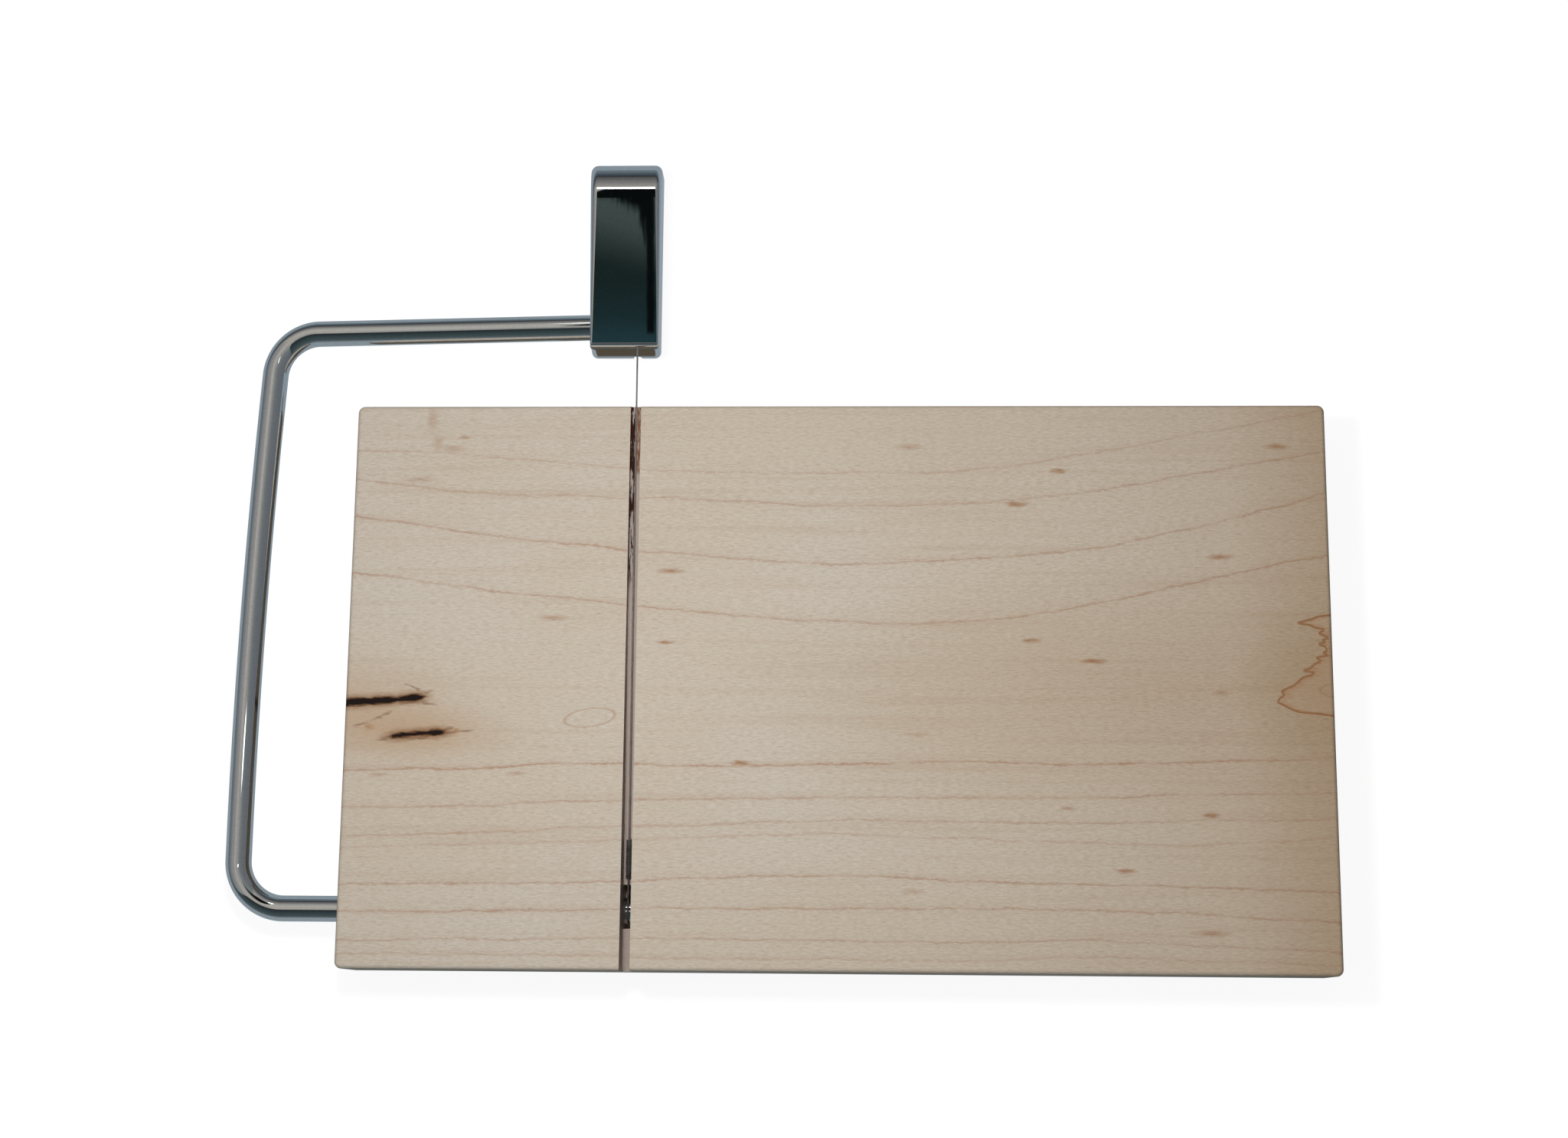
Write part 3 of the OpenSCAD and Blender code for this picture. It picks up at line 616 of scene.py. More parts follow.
    silk = grain((0.6, 3.2, 3.2), 3.0, 0.6, 0.5)
    pores = grain((0.55, 4.2, 4.2), 2.0, 0.55, 0.8)
    eye_line = put("ValToRGB", patch(eye, (9.0, 3.2), at, math.radians(8)), (0.24, 0.0), (0.31, 0.6), (0.38, 0.0))
    loop = put("ValToRGB", patch((241.6, 68.3), (5.0, 2.4), rough_at), (0.2, 0.0), (0.28, 0.7), (0.36, 0.0))
    tone = tint("maple")
    for share, shade, *blend in (
            # clouds 40 mm and more wide, faint lines 2 to 3 mm apart, silk and pores
            (put("ValToRGB", grain((0.014, 0.022, 0.02)), (0.35, 0.0), (0.68, 0.4)), "#CDBCA5"),
            (put("ValToRGB", grain((0.012, 0.42, 0.42), 3.0, 0.6), (0.5, 0.0), (0.72, 0.35)), "#C0A992"),
            (put("ValToRGB", silk, (0.42, 0.0), (0.7, 0.6)), "#B9A58F"),
            (put("ValToRGB", silk, (0.24, 0.5), (0.42, 0.0)), "#DBD1C4"),
            (put("ValToRGB", pores, (0.6, 0.0), (0.72, 0.3)), "#A68B74"),
            # painted shade: the board darkens to the right, most of all about its middle
            (put("ValToRGB", share_x, (0.5, 0.0), (1.0, 1.0)), "#FFF7EF", "MULTIPLY"),
            (put("ValToRGB", share_x, (0.9, 0.0), (1.0, 1.0)), "#EFE8DE", "MULTIPLY"),
            (put("ADD", put("MULTIPLY", patch((200, 68), (110, 34)), 0.75),
                 put("MULTIPLY", patch((240, 70), (24, 20)), 0.5)), "#EDE3D6", "MULTIPLY"),
            (lines, tint("growth")),
            (put("MULTIPLY", put("MINIMUM", flecks, 0.8), strokes), "#A27048"),
            # the bark pockets: yellowed wood, a brown rim, stained wisps, then bark
            (put("MULTIPLY", halo, 0.5), "#B8946F"),
            (streaks(BARK_LENSES, 1.5, (0.0, 0.0), (0.3, 0.4), (0.55, 0.85)), "#94704F"),
            (streaks(BARK_LENSES, 0.5, (0.1, 0.0), (0.4, 0.9)), "#5A3A24"),
            (put("MULTIPLY", streaks(BARK_WISPS, 0.25, (0.05, 0.0), (0.6, 0.6)), strokes), "#7E5A3E"),
            (streaks(BARK_LENSES, 0.0, (0.02, 0.0), (0.26, 1.0)), tint("bark")),
            # the oval eye is a thin reddish ring
            (eye_line, "#B08A6C"),
            # the flame: its inside, the hatching along its line, the line and a small loop
            (put("MULTIPLY", after, 0.3), "#C4A484"),
            (put("MULTIPLY", after, inward, hatch), "#AE7A53"),
            (put("MULTIPLY", after, before, 0.85), "#A0714A"),
            (loop, "#A97C56"),
            # end grain drinks the oil and goes darker
            (put("MULTIPLY", put("GREATER_THAN", to_side, 0.8), 0.4), "#9B8164"),
            (groove, sawn)):
        tone = put("Mix", share, tone, shade, blend_type=blend[0] if blend else "MIX")

    bump = put("Bump", Height=put("MULTIPLY_ADD", silk, 0.5, pores), Strength=0.12, Distance=0.06 * MM)
    put("OutputMaterial", put("BsdfPrincipled", Base_Color=tone, Roughness=put("MULTIPLY_ADD", silk, 0.2, 0.42),
                              Specular_IOR_Level=0.32, Normal=bump))
    return made


def plating(name, rough, ripple):
    """Bright nickel and chrome over a polished base: a mirror with a faint long-wave ripple from the polishing wheel
    and fine scratches about 0.1 mm wide."""
    made, put = material(name)
    at = put("TexCoord", out="Object")
    wave = put("TexNoise", at, Scale=1 / (6 * MM), Detail=1.0)
    fine = put("Mapping", at, Scale=(1 / (0.12 * MM), 1 / (4 * MM), 1 / (0.12 * MM)))
    scratch = put("ValToRGB", put("TexNoise", fine, Scale=1.0, Detail=3.0, Roughness=0.7), (0.66, 0.0), (0.78, 1.0))
    cloud = put("ValToRGB", put("TexNoise", at, Scale=1 / (0.7 * MM), Detail=2.0), (0.3, 0.93), (0.6, 1.0))
    put("OutputMaterial", put(
        "BsdfPrincipled", Base_Color=put("Mix", 1.0, tint("plating"), cloud, blend_type="MULTIPLY"), Metallic=1.0,
        Roughness=put("MULTIPLY_ADD", scratch, 0.1, rough),
        Normal=put("Bump", Height=wave, Strength=ripple, Distance=0.05 * MM)))
    return made


def steel_wire():
    """Drawn stainless wire: bright, with patches of tarnish about 1.5 mm long and a dull film that scatters part of
    the light, and darker where it is wrapped near the hinge."""
    made, put = material("stainless_wire_drawn")
    at = put("TexCoord", out="Object")
    spots = put("TexNoise", at, Scale=1 / (1.5 * MM), Detail=3.0, Roughness=0.65)
    hinge = BOARD_LO.y + sizes().hinge_y * MM
    near = put("MapRange", put("SeparateXYZ", at).node.outputs[1], hinge + 19 * MM, hinge + 15 * MM)
    tone = put("Mix", put("ValToRGB", spots, (0.5, 0.0), (0.7, 0.5)), tint("wire"), "#6B6660")
    tone = put("Mix", put("MULTIPLY", near, put("ValToRGB", spots, (0.38, 0.9), (0.6, 0.5))), tone, "#3A3633")
    put("OutputMaterial", put("BsdfPrincipled", Base_Color=tone, Metallic=0.7,
                              Roughness=put("MULTIPLY_ADD", spots, 0.2, 0.12)))
    return made


def small_steel(name, shade, rough):
    """Zinc-plated or blackened small screws: dull metal with a grain of about half a millimetre."""
    made, put = material(name)
    grain = put("TexNoise", put("TexCoord", out="Object"), Scale=1 / (0.5 * MM), Detail=3.0)
    darker = [0.7 * v for v in linear(shade)[:3]] + [1.0]
    put("OutputMaterial", put(
        "BsdfPrincipled", Base_Color=put("Mix", grain, shade, darker), Metallic=1.0,
        Roughness=put("MULTIPLY_ADD", grain, 0.2, rough),
        Normal=put("Bump", Height=grain, Strength=0.2, Distance=0.03 * MM)))
    return made


def rubber():
    """Moulded rubber: dark, matt, with a fine spark-eroded grain of 0.4 mm and a little dust."""
    made, put = material("rubber_moulded")
    at = put("TexCoord", out="Object")
    grain = put("TexNoise", at, Scale=1 / (0.4 * MM), Detail=2.0)
    dust = put("ValToRGB", put("TexNoise", at, Scale=1 / (5 * MM), Detail=4.0), (0.5, 0.0), (0.75, 0.35))
    put("OutputMaterial", put(
        "BsdfPrincipled", Base_Color=put("Mix", dust, tint("rubber"), "#5A5855"), Roughness=0.75,
        Specular_IOR_Level=0.3, Normal=put("Bump", Height=grain, Strength=0.3, Distance=0.05 * MM)))
    return made


def ray_of(px, py):
    """A ray through a point of the photograph's frame: (x - W/2, H/2 - y, -L * lens / sensor) in the camera's axes."""
    cam = bpy.context.scene.camera
    long_side = max(FRAME_W, FRAME_H)
    data = cam.data
    local = Vector((px - FRAME_W / 2 + data.shift_x * long_side, FRAME_H / 2 - py + data.shift_y * long_side,
                    -long_side * data.lens / data.sensor_width))
    return cam.location.copy(), (cam.rotation_quaternion @ local).normalized()


def surface_at(px, py, carrier):
    """Where the ray through an image point meets the carrier; a miss takes the place nearest the ray."""
    origin, along = ray_of(px, py)
    graph = bpy.context.evaluated_depsgraph_get()
    tree = BVHTree.FromObject(carrier, graph)
    hit, _, _, _ = tree.ray_cast(origin, along)
    if hit is None:
        far = (carrier.matrix_world.translation - origin).length
        for _ in range(8):
            hit, _, _, _ = tree.find_nearest(origin + along * far)
            far = (hit - origin).dot(along)
    return hit


def mark_at(name):
    """A mark's place on the board in board millimetres."""
    px, py = IMAGE_POINTS[name][:2]
    hit = surface_at(px, py, bpy.data.objects["maple_board"])
    return (hit.x - BOARD_LO.x) / MM, (hit.y - BOARD_LO.y) / MM


def seen(points):
    """Points in metres to the photograph's frame."""
    cam = bpy.context.scene.camera
    turn = np.array(cam.rotation_quaternion.to_matrix())
    local = (np.asarray(points, float) - np.array(cam.location)) @ turn
    k = FRAME_W * cam.data.lens / cam.data.sensor_width
    return (FRAME_W / 2, FRAME_H / 2) + k * local[:, :2] / local[:, 2:] * (-1, 1)


def finished(name):
    """A piece's finished vertices in metres."""
    graph = bpy.context.evaluated_depsgraph_get()
    mesh = bpy.data.objects[name].evaluated_get(graph).data
    co = np.zeros(len(mesh.vertices) * 3)
    mesh.vertices.foreach_get("co", co)
    return co.reshape(-1, 3)


OUTERMOST = {"left": (0, np.argmin), "right": (0, np.argmax), "top": (1, np.argmin), "bottom": (1, np.argmax)}


def measure_points():
    """How far, in x and y, each thing shows from its image point."""
    for name, (px, py, piece, how) in IMAGE_POINTS.items():
        verts = finished(piece)
        flat = seen(verts)
        if how in OUTERMOST:
            axis, pick = OUTERMOST[how]
            got = flat[pick(flat[:, axis])]
        elif how in ("far_left", "far_right"):
            side = 0 if how == "far_left" else -1
            top = flat[verts[:, 2] > BOARD_HI.z - 0.4 * MM]
            xs = np.sort(top[top[:, 1] < top[:, 1].min() + 40, 0])
            got = np.array([xs[side], top[:, 1].min()])
        elif how == "placed":
            got = seen([surface_at(px, py, bpy.data.objects[piece])])[0]
        elif how == "wrap":
            near = np.linalg.norm(flat - (px, py), axis=1).argsort()[:200]
            got = flat[near].mean(axis=0)
        else:
            along, cross = (0, 1) if how == "level" else (1, 0)
            aim = px if how == "level" else py
            close = flat[(np.abs(flat[:, along] - aim) < 24) & (np.abs(flat[:, cross] - (px, py)[cross]) < 60)]
            got = (close.min(axis=0) + close.max(axis=0)) / 2
            px, py = (None, py) if how == "level" else (px, None)
        [None if want is None else round(float(g - want), 1) for g, want in zip(got, (px, py))]


def dress(obj, body, finish, slot, *nodes):
    """Gives a piece its material and its body, and hides the CAD nodes that it stands for; the slot is not used."""
    obj.data.materials.clear()
    obj.data.materials.append(finish)
    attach(obj, body)
    if nodes:
        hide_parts(*nodes)


class CUTTER_OT_board(bpy.types.Operator):
    """Maple board: a rounded block with the tapering groove, the eye's pocket and the hinge bore"""
    bl_idname = "cutter.board"
    bl_label = "Maple board"

    def execute(self, context):
        s = sizes()
        length_x, width_y, _ = BOARD
        board = mesh_piece("maple_board", *self.metres(round_box(
            (0, 0, FOOT_HIGH), (length_x, width_y, TOP_Z), s.corner_round, s.edge_round)))
        slope = (s.groove_near - s.groove_far) / width_y
        groove = prism([(-1, TOP_Z - s.groove_near - slope), (-1, TOP_Z + 1), (width_y + 1, TOP_Z + 1),
                        (width_y + 1, TOP_Z - s.groove_far + slope)], 0,
                       s.groove_at - s.groove_wide / 2, s.groove_at + s.groove_wide / 2)
        # The pocket lies inside the groove's width, a hair narrower so that no two cut faces coincide.
        near, far = s.hinge_y - POCKET_NEAR, s.hinge_y + POCKET_FAR
        low = HINGE_Z - s.rod / 2 - s.wire * 1.5 - POCKET_DEEP
        pocket = prism([(near, low), (near, TOP_Z + 2), (far, TOP_Z + 2), (far, low)], 0,
                       s.groove_at - s.groove_wide / 2 + 0.001, s.groove_at + s.groove_wide / 2 - 0.001)
        bore = tube([(-1, s.hinge_y, HINGE_Z), (s.groove_at + BORE_PAST, s.hinge_y, HINGE_Z)],
                    s.rod / 2 + BORE_PLAY, 64)
        tools = [mesh_piece(n, *self.metres(shape)) for n, shape in
                 (("groove_tool", groove), ("pocket_tool", pocket), ("bore_tool", bore))]
        for i, (fx, fy) in enumerate(feet_at()):
            hole = tube([(fx, fy, FOOT_HIGH - 1), (fx, fy, FOOT_HIGH + SCREW_HOLE_DEEP)], SCREW_HOLE_R, 24)
            tools.append(mesh_piece(f"hole_tool_{i}", *self.metres(hole)))
        cut(board, tools)
        smooth(board, 40)
        weigh(board)
        dress(board, "base", maple(), "maple", "board")
        return {"FINISHED"}

    @staticmethod
    def metres(shape):
        return place(shape[0]), shape[1]


def feet_at():
    """The four feet's centres from the board's near left corner."""
    in_x, in_y = FEET_IN
    return [(x, y) for y in (in_y, BOARD[1] - in_y) for x in (in_x, BOARD[0] - in_x)]


def rod_path():
    """The rod's centre line in the arm's plane: along x from the hinge end, round the lower bend, up the arm, round
    the upper bend and along to the end in the handle. Each bend is an arc of one radius, tangent to both legs; then
    the arm bows out by 4 * bow * t * (1 - t), where t runs from nought at the lower leg to one at the upper."""
    s = sizes()
    lower = s.lower_bend
    top_turn = lower + s.upper_bend - math.pi
    start = np.array([-s.arm_out, 0.0])
    grip_x, grip_y = grip_corner()
    reach = grip_y + s.rod_inset - (grip_x - start[0]) * math.tan(top_turn)
    rise = reach / (1 - math.tan(top_turn) / math.tan(lower))
    corner = np.array([start[0] + rise / math.tan(lower), rise])
    cut1, cut2 = s.bend * math.tan((math.pi - lower) / 2), s.bend * math.tan((math.pi - s.upper_bend) / 2)
    arm = np.array([math.cos(lower), math.sin(lower)])
    top = np.array([math.cos(top_turn), math.sin(top_turn)])
    centre1 = start + [cut1, s.bend]
    centre2 = corner - cut2 * arm + s.bend * np.array([math.sin(lower), -math.cos(lower)])
    run = (s.groove_at - ROD_SHORT - corner[0]) / top[0]
    lower_deg, top_deg = math.degrees(lower), math.degrees(top_turn)
    bend1 = arc(centre1, s.bend, (1, 0), (0, 1), 270, 90 + lower_deg, 28)
    bend2 = arc(centre2, s.bend, (1, 0), (0, 1), 90 + lower_deg, 90 + top_deg, 28)
    cut1, cut2 = cut1 + LEG_GAP, cut2 + LEG_GAP
    flat = np.vstack([
        np.linspace((s.groove_at + s.hinge_depth, 0), (start[0] + cut1, 0), 16), bend1,
        np.linspace(start + arm * cut1, corner - arm * cut2, 24), bend2,
        np.linspace(corner + top * cut2, corner + top * run, 16)])
    t = np.clip(flat[:, 1] / corner[1], 0, 1)
    flat[:, 0] -= 4 * s.arm_bow * t * (1 - t)
    return np.column_stack([flat, np.zeros(len(flat))]), corner, top


def grip_corner():
    """The handle's centre line and near end in the arm's plane."""
    s = sizes()
    return s.groove_at - s.grip_shift, BOARD[1] - s.hinge_y + s.grip_gap


class CUTTER_OT_rod(bpy.types.Operator):
    """Bent rod: a round bar carried along the hinge leg, two bends and the upper leg"""
    bl_idname = "cutter.rod"
    bl_label = "Bent rod"

    def execute(self, context):
        s = sizes()
        path, _, _ = rod_path()
        verts, faces = tube(path, s.rod / 2, 64)
        rod = mesh_piece("plated_rod", in_arm(verts), faces)
        dress(rod, "arm", plating("steel_rod_bright_plated", 0.02, 0.02), "plated_rod", "arm_rod")
        return {"FINISHED"}


class CUTTER_OT_handle(bpy.types.Operator):
    """Handle: a plated zinc casting, hollow underneath, with the rod's boss, the screw's boss and the wire's notch"""
    bl_idname = "cutter.handle"
    bl_label = "Cast handle"

    def execute(self, context):
        s = sizes()
        grip_x, grip_y = grip_corner()
        shift = np.array([grip_x, grip_y, 0.0])
        _, corner, top = rod_path()

        def part(name, shape, moved=False):
            return mesh_piece(name, in_arm(shape[0] + shift * moved), shape[1])

        def on_rod(x):
            return (*(corner + top * (x - corner[0]) / top[0]), 0.0)

        wall, end = s.grip_wall, s.grip_length
        skin = casting(s.grip_near, s.grip_far, 0.0, end, s.grip_up, -s.grip_down, near_r=(1.1, 2.2),
                       far_r=(9.7, 6.6), side_r=(1.6, 0.45, 1.8), draft=0.35, lean_in=0.3, roll=GRIP_ROLL)
        hollow = casting(s.grip_near - 2 * wall, s.grip_far - 2 * wall, wall, end - wall, s.grip_up - wall,
                         -s.grip_down - 1, near_r=(1.0, 1.0), far_r=(7.6, 5.0), side_r=(0.8, 0.8, 0.8),
                         roll=GRIP_ROLL, steps=6)
        handle = part("grip_casting", skin, True)
        cut(handle, [part("hollow_tool", hollow, True)])
        boss = tube([on_rod(grip_x - BOSS_LEFT), on_rod(s.groove_at - BOSS_SHORT)], s.rod / 2 + BOSS_WALL, 48)
        post_at, screw_at = (s.groove_at - POST_LEFT, grip_y + POST_AT), (grip_x - SET_SCREW_LEFT, grip_y + s.rod_inset)
        post = tube([(*post_at, z) for z in POST_Z], POST_R, 32)
        cut(handle, [part("boss_tool", boss), part("post_tool", post)], "UNION")
        bore = tube([on_rod(grip_x - s.grip_far), on_rod(s.groove_at - ROD_SHORT)], s.rod / 2, 64)
        screw = tube([(*screw_at, z) for z in SET_SCREW_Z], SET_SCREW_R, 32)
        post_bore = tube([(*post_at, z) for z in POST_BORE_Z], POST_BORE_R, 32)
        left, right, round_z = s.groove_at - NOTCH_R, s.groove_at + NOTCH_R, NOTCH_TOP - NOTCH_R
        notch = [(left, NOTCH_FOOT), (right, NOTCH_FOOT), (right, round_z)]
        notch += arc((s.groove_at, round_z), NOTCH_R, (1, 0), (0, 1), 0, 180, 12)[1:].tolist()
        notch = prism(notch, 1, grip_y - 1, grip_y + wall + 1)
        cut(handle, [part(n, shape) for n, shape in (
            ("bore_tool", bore), ("screw_tool", screw), ("post_bore_tool", post_bore), ("notch_tool", notch))])
        smooth(handle, 40)
        weigh(handle)
        dress(handle, "arm", plating("zinc_casting_bright_plated", 0.015, 0.03), "plated_casting", "handle")
        return {"FINISHED"}


def wire_facts():
    """The wire's stations in the arm's plane, from the same rules as the part's source."""
    s = sizes()
    wire_r = s.wire / 2
    eye_r = s.rod / 2 + wire_r
    stop_y = BOARD[1] - s.hinge_y
    stop_z = TOP_Z - s.groove_far + wire_r + SEAT_GAP - HINGE_Z
    rise = math.atan2(stop_z, stop_y) - math.asin(eye_r / math.hypot(stop_y, stop_z))
    return wire_r, eye_r, rise - s.rest_tilt, grip_corner()[1]


def wire_path():
    """The wire's centre line: wraps round the lead, the loop under the screw's head, the straight run, the eye round
    the hinge and the tail's wraps. A wrap is a helix: cosine and sine of the turn across the wire, pitch along it."""
    s = sizes()
    wire_r, eye_r, fall, grip_y = wire_facts()
    gx = s.groove_at
    pitch = s.wire + TURN_GAP
    notch_y = grip_y + 1.0
    notch_z = eye_r / math.cos(fall) + notch_y * math.tan(fall)
    loop_r = POST_BORE_R + wire_r + TURN_GAP
    centre = np.array([gx - loop_r, grip_y + POST_AT, LOOP_Z])
    lead_y = centre[1] - LOOP_LEAD

    def on_wire(y):
        return np.array([gx, y, eye_r / math.cos(fall) + y * math.tan(fall)])

    def on_lead(y):
        return np.array([gx, y, notch_z + (centre[2] - notch_z) * (y - notch_y) / (lead_y - notch_y)])

    def wrap(start, along, first, turns):
        t = np.arange(int(turns * 16) + 1)[:, None] / 16
        a = 2 * np.pi * t
        return start + t * pitch * along + pitch * (np.cos(a) * first + np.sin(a) * np.cross(along, first))

    down = np.array([0, math.cos(fall), math.sin(fall)])
    under = np.array([0, math.sin(fall), -math.cos(fall)])
    lead = on_lead(notch_y) - on_lead(lead_y)
    lead /= np.linalg.norm(lead)
    off = np.array([loop_r - pitch, -LOOP_LEAD - LOOP_FROM])
    leave = 360 + math.degrees(math.atan2(off[1], off[0])) - math.degrees(math.acos(loop_r / np.linalg.norm(off)))
    return np.vstack([
        wrap(on_lead(lead_y - LOOP_FROM), lead, np.array([-1.0, 0, 0]), LOOP_TURNS)[::-1],
        arc(centre, loop_r, (1, 0, 0), (0, 1, 0), 0, leave, 36)[::-1],
        on_lead(lead_y), on_lead((lead_y + notch_y) / 2), on_lead(notch_y),
        np.linspace(on_wire(notch_y - 2), on_wire(2.0), 12),
        arc((gx, 0, 0), eye_r, (0, 1, 0), (0, 0, 1), 90 + math.degrees(fall), EYE_ENDS, 32),
        on_wire(EYE_CLOSED) + (s.wire + EYE_BELOW) * under,
        wrap(on_wire(EYE_FROM), down, under, EYE_TURNS)])


class CUTTER_OT_wire(bpy.types.Operator):
    """Cutting wire: one steel wire with an eye round the hinge, a wrapped tail and a loop under the screw's head"""
    bl_idname = "cutter.wire"
    bl_label = "Cutting wire"

    def execute(self, context):
        verts, faces = tube(wire_path(), sizes().wire / 2, 12)
        wire = mesh_piece("steel_wire", in_arm(verts), faces)
        dress(wire, "arm", steel_wire(), "wire", "cutting_wire")
        return {"FINISHED"}


class CUTTER_OT_feet(bpy.types.Operator):
    """Four rubber feet: turned profiles with a rounded lower rim and a recess for the screw"""
    bl_idname = "cutter.feet"
    bl_label = "Rubber feet"

    def execute(self, context):
        high = FOOT_HIGH
        outer = sizes().foot / 2
        rim = arc((outer - 2 * RIM_ROUND, RIM_ROUND), RIM_ROUND, (1, 0), (0, 1), -90, 0, 6)
        hole, chamfer = SCREW_HOLE_R, outer - 0.05
        profile = np.vstack([
            [(hole, high), (hole, high / 2), (RECESS_R, high / 2), (RECESS_R, RECESS_EDGE),
             (RECESS_R + RECESS_EDGE, 0.0)], rim,
            [(chamfer, high - FOOT_EDGE), (chamfer - FOOT_EDGE, high), (hole, high)]])
        verts, faces = lathe(profile)
        finish = rubber()
        for name, (x, y) in zip(("nl", "nr", "fl", "fr"), feet_at()):
            foot = mesh_piece(f"rubber_foot_{name}", place(verts + [x, y, 0.0]), faces)
            dress(foot, "base", finish, "foot_rubber", f"foot_{name}")
        return {"FINISHED"}


class CUTTER_OT_screws(bpy.types.Operator):
    """Screws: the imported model's own screws in their finishes"""
    bl_idname = "cutter.screws"
    bl_label = "Screws"

    def execute(self, context):
        zinc, black = small_steel("zinc_plated_screw", "#B9BBBD", 0.3), small_steel("blackened_screw", "#45464A", 0.35)
        for name, node in NODES.items():
            if "screw" in name:
                node.data.materials.clear()
                node.data.materials.append(black if name == "set_screw" else zinc)
        return {"FINISHED"}


class CUTTER_OT_stage(bpy.types.Operator):
    """Stage: camera, pale floor, soft studio lamps and the room that the plating reflects"""
    bl_idname = "cutter.stage"
    bl_label = "Stage"

    def execute(self, context):
        context.scene.view_settings.view_transform = "Standard"
        self.camera(context.scene)
        self.floor()
        self.room(context.scene)
        self.lamps()
        return {"FINISHED"}

    @staticmethod
    def camera(scene):
        data = bpy.data.cameras.new("camera")
        data.lens, data.sensor_width, data.sensor_fit = CAMERA_LENS, SENSOR, "AUTO"
        data.clip_start, data.clip_end = 0.01, 20
        cam = show("camera", data)
        turn = Vector([math.radians(v) for v in CAMERA_TURN])
        cam.rotation_mode = "QUATERNION"
        cam.rotation_quaternion = Quaternion(turn.normalized(), turn.length)
        cam.location = place(CAMERA_AT)
        scene.camera = cam
        bpy.context.view_layer.update()

    @staticmethod
    def floor():
        """The floor: white to the camera, with the object's shadow. The plating sees it as a dull grey blue, and in the
        gap between the board and the handle as a painted reflection of the board's shaded far face in brown."""
        s = sizes()
        gap_x, gap_y, _ = place((s.groove_at - s.grip_shift, BOARD[1], 0))
        mesh = bpy.data.meshes.new("floor")
        mesh.from_pydata([(x, y, -0.0002) for x, y in ((-3, -3), (3, -3), (3, 3), (-3, 3))], [], [(0, 1, 2, 3)])
        made, put = material("floor_pale")
        path = put("LightPath").node.outputs
        at = put("SeparateXYZ", put("TexCoord", out="Object")).node.outputs
        # each end of the strip of painted reflection in metres, and how far it takes to set in
        strip = ((gap_x - 0.022, 0.003), (gap_x + 0.022, -0.003)), ((gap_y - 0.001, 0.001), (gap_y + 0.0098, -0.0005))
        painted_reflection_share = put("MULTIPLY", *(put("MULTIPLY", *(put("MapRange", at[axis], start, start + set_in)
                                                     for start, set_in in strip[axis])) for axis in (0, 1)))
        seen_by = put("MAXIMUM", path["Is Camera Ray"], path["Is Transmission Ray"])
        to_eye = put("AddShader", put("BsdfDiffuse", (0.3, 0.3, 0.3, 1.0), 1.0),
                     put("Emission", tint("backdrop"), put("MULTIPLY", seen_by, 0.91)))
        # painted reflection: in the gap the plating sees the board's shaded far face as brown
        to_plate = put("Emission", put("Mix", painted_reflection_share, "#98A3AB", "#584F42"), path["Is Glossy Ray"])
        put("OutputMaterial", put("MixShader", path["Is Glossy Ray"], to_eye, to_plate))
        mesh.materials.append(made)
        show("floor", mesh)

    @staticmethod
    def room(scene):
        """The room: how light each direction is, by its lean to the right (across) and to the far side (ahead) in
        degrees from straight up. A pale ceiling, grey walls, the dark figure of the photographer to the near side and a
        dark patch above the handle to the far side."""
        scene.world = bpy.data.worlds.new("room")
        put = nodes_of(scene.world)
        toward = put("SeparateXYZ", put("TexCoord", out="Generated")).node.outputs
        up = put("ABSOLUTE", toward[2])
        across, ahead = (put("MULTIPLY", put("ARCTAN2", way, up), 180 / math.pi) for way in toward[:2])

        def by(lean, stops):
            low, high = float(stops[0][0]), float(stops[-1][0])
            return put("ValToRGB", put("MapRange", lean, low, high),
                       *(((at - low) / (high - low), shade) for at, shade in stops))

        def step(value, low, high):
            return put("MapRange", value, low, high, interpolation_type="SMOOTHSTEP")

        # the far and near walls take over from the side walls in a wedge about the lean -9 across
        wedge = put("MULTIPLY", put("MAXIMUM", put("SUBTRACT", put("ABSOLUTE", ahead), 9.0), 0.0), 1.3)
        lead = put("SUBTRACT", wedge, put("ABSOLUTE", put("ADD", across, 9.0)))
        room = put("Mix", step(lead, -4.5, -2.0), by(across, ROOM_ACROSS), by(ahead, ROOM_AHEAD))

        # In the dark patch, side runs from nought at its left edge to one at its right, and up_to from nought near its
        # near end to one. It has a paler near left part with fine upright streaks, and a black right side that runs
        # down to the near end as a thin stripe.
        fine = put("CombineXYZ", put("MULTIPLY", across, 14.0), put("MULTIPLY", ahead, 0.9))
        rough = put("MULTIPLY_ADD", put("TexNoise", fine, Scale=1.0, Detail=2.0), 0.22, -0.11)
        side = put("MULTIPLY_ADD", across, 1 / 2.11, 7.25 / 2.11)
        up_to = put("MULTIPLY_ADD", ahead, 1 / 3.4, -4.5 / 3.4)
        paler = put("MULTIPLY", step(put("MULTIPLY_ADD", side, 0.14, up_to), 0.55, 1.0), step(side, -0.05, 0.12),
                    step(ahead, 8.2, 7.9))
        upper = put("ADD", rough, put("MULTIPLY_ADD", side, 0.22, up_to))
        right = put("ADD", rough, put("MULTIPLY_ADD", up_to, 0.4, side))
        stripe = put("MULTIPLY", step(side, 0.85, 0.87), step(up_to, 0.02, 0.06))
        black = put("MULTIPLY", put("MAXIMUM", step(upper, 1.05, 1.13), step(right, 1.1, 1.15), stripe),
                    step(side, 0.99, 0.97))
        patch = put("Mix", black, put("Mix", paler, by(ahead, ROOM_OVERHEAD), "#485351"), "#0B0E0F")
        inside = put("MULTIPLY", put("MULTIPLY", step(across, -7.75, -7.6), step(across, 14.0, 5.0)),
                     put("MULTIPLY", step(ahead, 3.2, 3.5), step(ahead, 27.5, 26.5)))
        room = put("Mix", inside, room, patch)

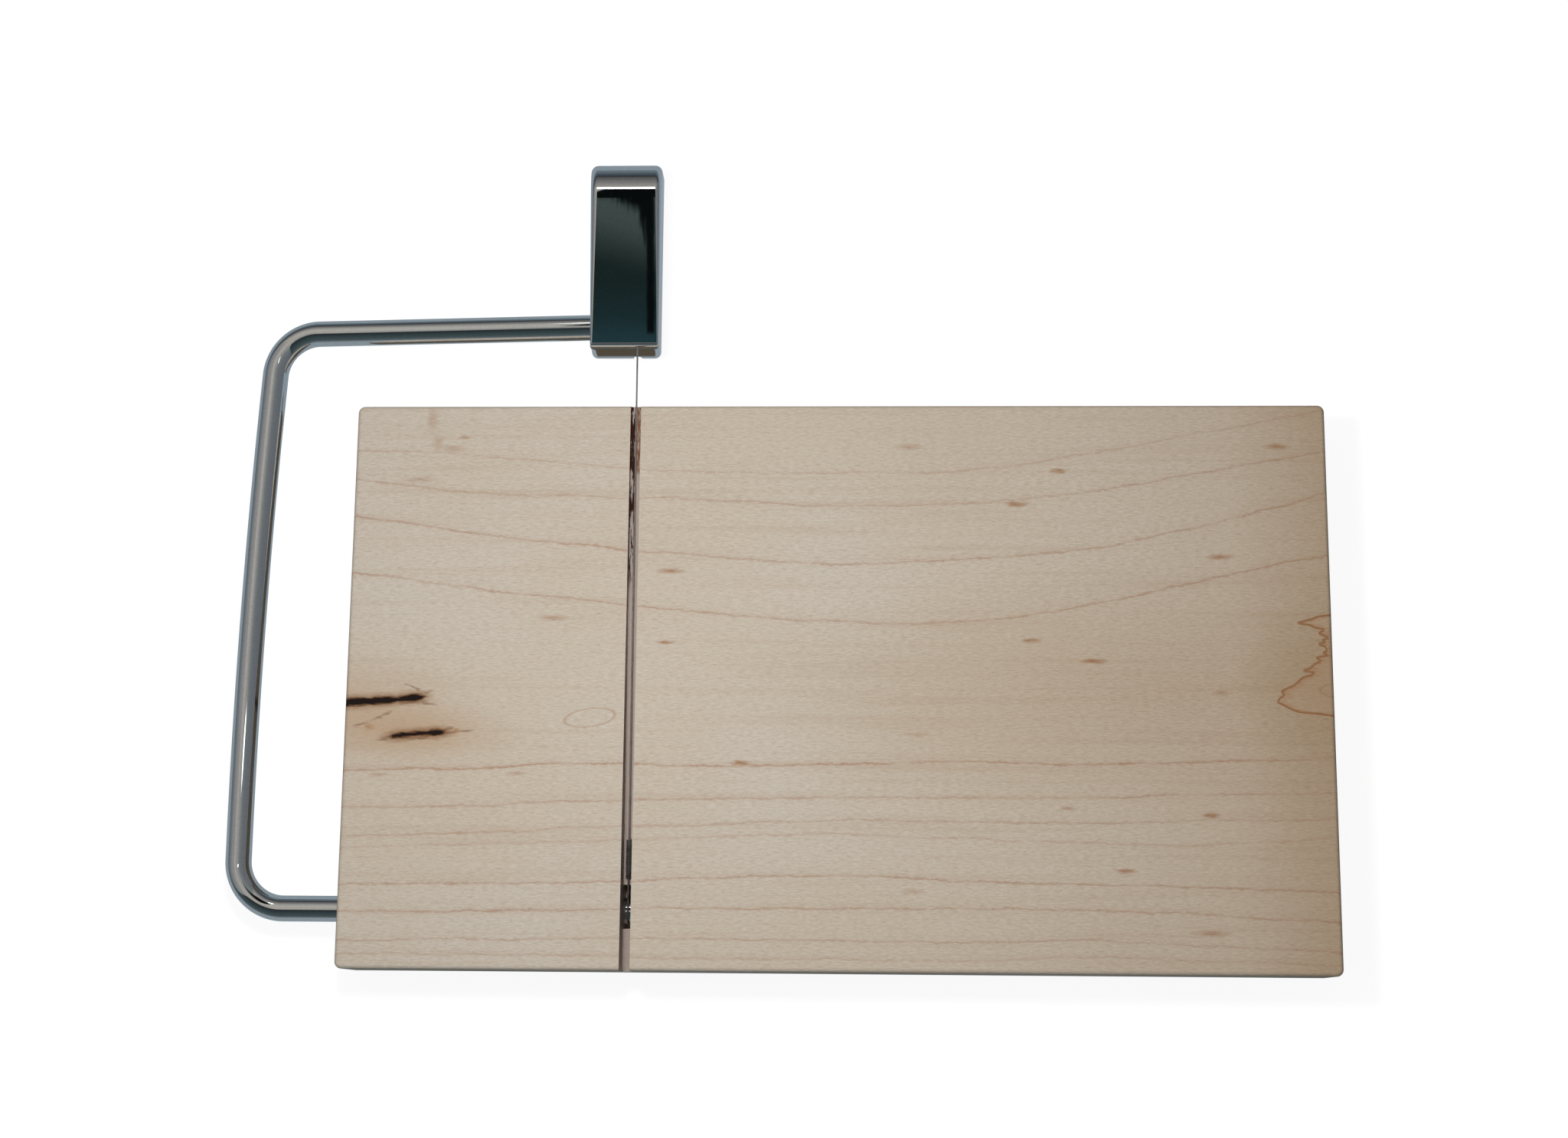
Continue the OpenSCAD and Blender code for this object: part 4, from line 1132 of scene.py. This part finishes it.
        # two lamps: their lean across and ahead, half sizes in degrees, and strength
        spots = []
        for at_x, at_y, half_x, half_y, power in ((-6, 29.2, 4, 2.4, 6.0), (9.0, -6.3, 6, 1, 2.5)):
            off = put("CombineXYZ", put("DIVIDE", put("SUBTRACT", across, at_x), half_x),
                      put("DIVIDE", put("SUBTRACT", ahead, at_y), half_y))
            far = put("MULTIPLY_ADD", rough, 2.5, put("VectorMath", off, operation="LENGTH"))
            spots.append(put("MULTIPLY", step(far, 1.0, 0.5), power))
        total = put("AddShader", put("Background", room, 1.0), put("Background", (1, 1, 1, 1), put("ADD", *spots)))
        put("OutputWorld", put("MixShader", put("LightPath", out="Is Camera Ray"), total,
                               put("Background", tint("backdrop"), 1.0)))

    @staticmethod
    def lamps():
        """Two lamps that the plating doesn't see: a small one low over the board's left half, which fades to the
        right, and a weak broad fill."""
        for name, kind, at, aim, wide, power in (
                ("lamp", "POINT", (-0.038, -0.012, 0.304), (-0.038, -0.012, 0.0), 0.03, 2.2),
                ("fill", "AREA", (0.0, 0.1, 1.4), (0.0, 0.0, 0.02), 1.6, 0.5)):
            data = bpy.data.lights.new(name, kind)
            data.energy = power
            if kind == "POINT":
                data.shadow_soft_size = wide
            else:
                data.shape, data.size = "DISK", wide
            lamp = show(name, data)
            lamp.location = at
            lamp.rotation_mode = "QUATERNION"
            lamp.rotation_quaternion = (Vector(aim) - Vector(at)).to_track_quat("-Z", "Y")
            lamp.visible_glossy = lamp.visible_camera = False


class CUTTER_PT_panel(bpy.types.Panel):
    """Lists the cutter's pieces, sizes and colours"""
    bl_idname = "CUTTER_PT_panel"
    bl_label = "Cheese wire cutter"
    bl_space_type = "VIEW_3D"
    bl_region_type = "UI"
    bl_category = "Cutter"

    def draw(self, context):
        for step in STEPS:
            self.layout.operator(step.bl_idname)
        for group in (context.scene.cutter_sizes, context.scene.cutter_colours):
            box = self.layout.box()
            for name in group.__annotations__:
                box.prop(group, name)


STEPS = (CUTTER_OT_stage, CUTTER_OT_board, CUTTER_OT_rod, CUTTER_OT_handle, CUTTER_OT_wire, CUTTER_OT_feet,
         CUTTER_OT_screws)
CLASSES = (CutterSizes, CutterColours, *STEPS, CUTTER_PT_panel)


def register():
    for kind in CLASSES:
        bpy.utils.register_class(kind)
    bpy.types.Scene.cutter_sizes = bpy.props.PointerProperty(type=CutterSizes)
    bpy.types.Scene.cutter_colours = bpy.props.PointerProperty(type=CutterColours)


def unregister():
    del bpy.types.Scene.cutter_colours
    del bpy.types.Scene.cutter_sizes
    for kind in reversed(CLASSES):
        bpy.utils.unregister_class(kind)


def main():
    register()
    bpy.ops.cutter.stage()
    bpy.ops.cutter.board()
    bpy.ops.cutter.rod()
    bpy.ops.cutter.handle()
    bpy.ops.cutter.wire()
    bpy.ops.cutter.feet()
    bpy.ops.cutter.screws()
    bpy.context.view_layer.update()
    measure_points()


if __name__ == "__main__":
    main()
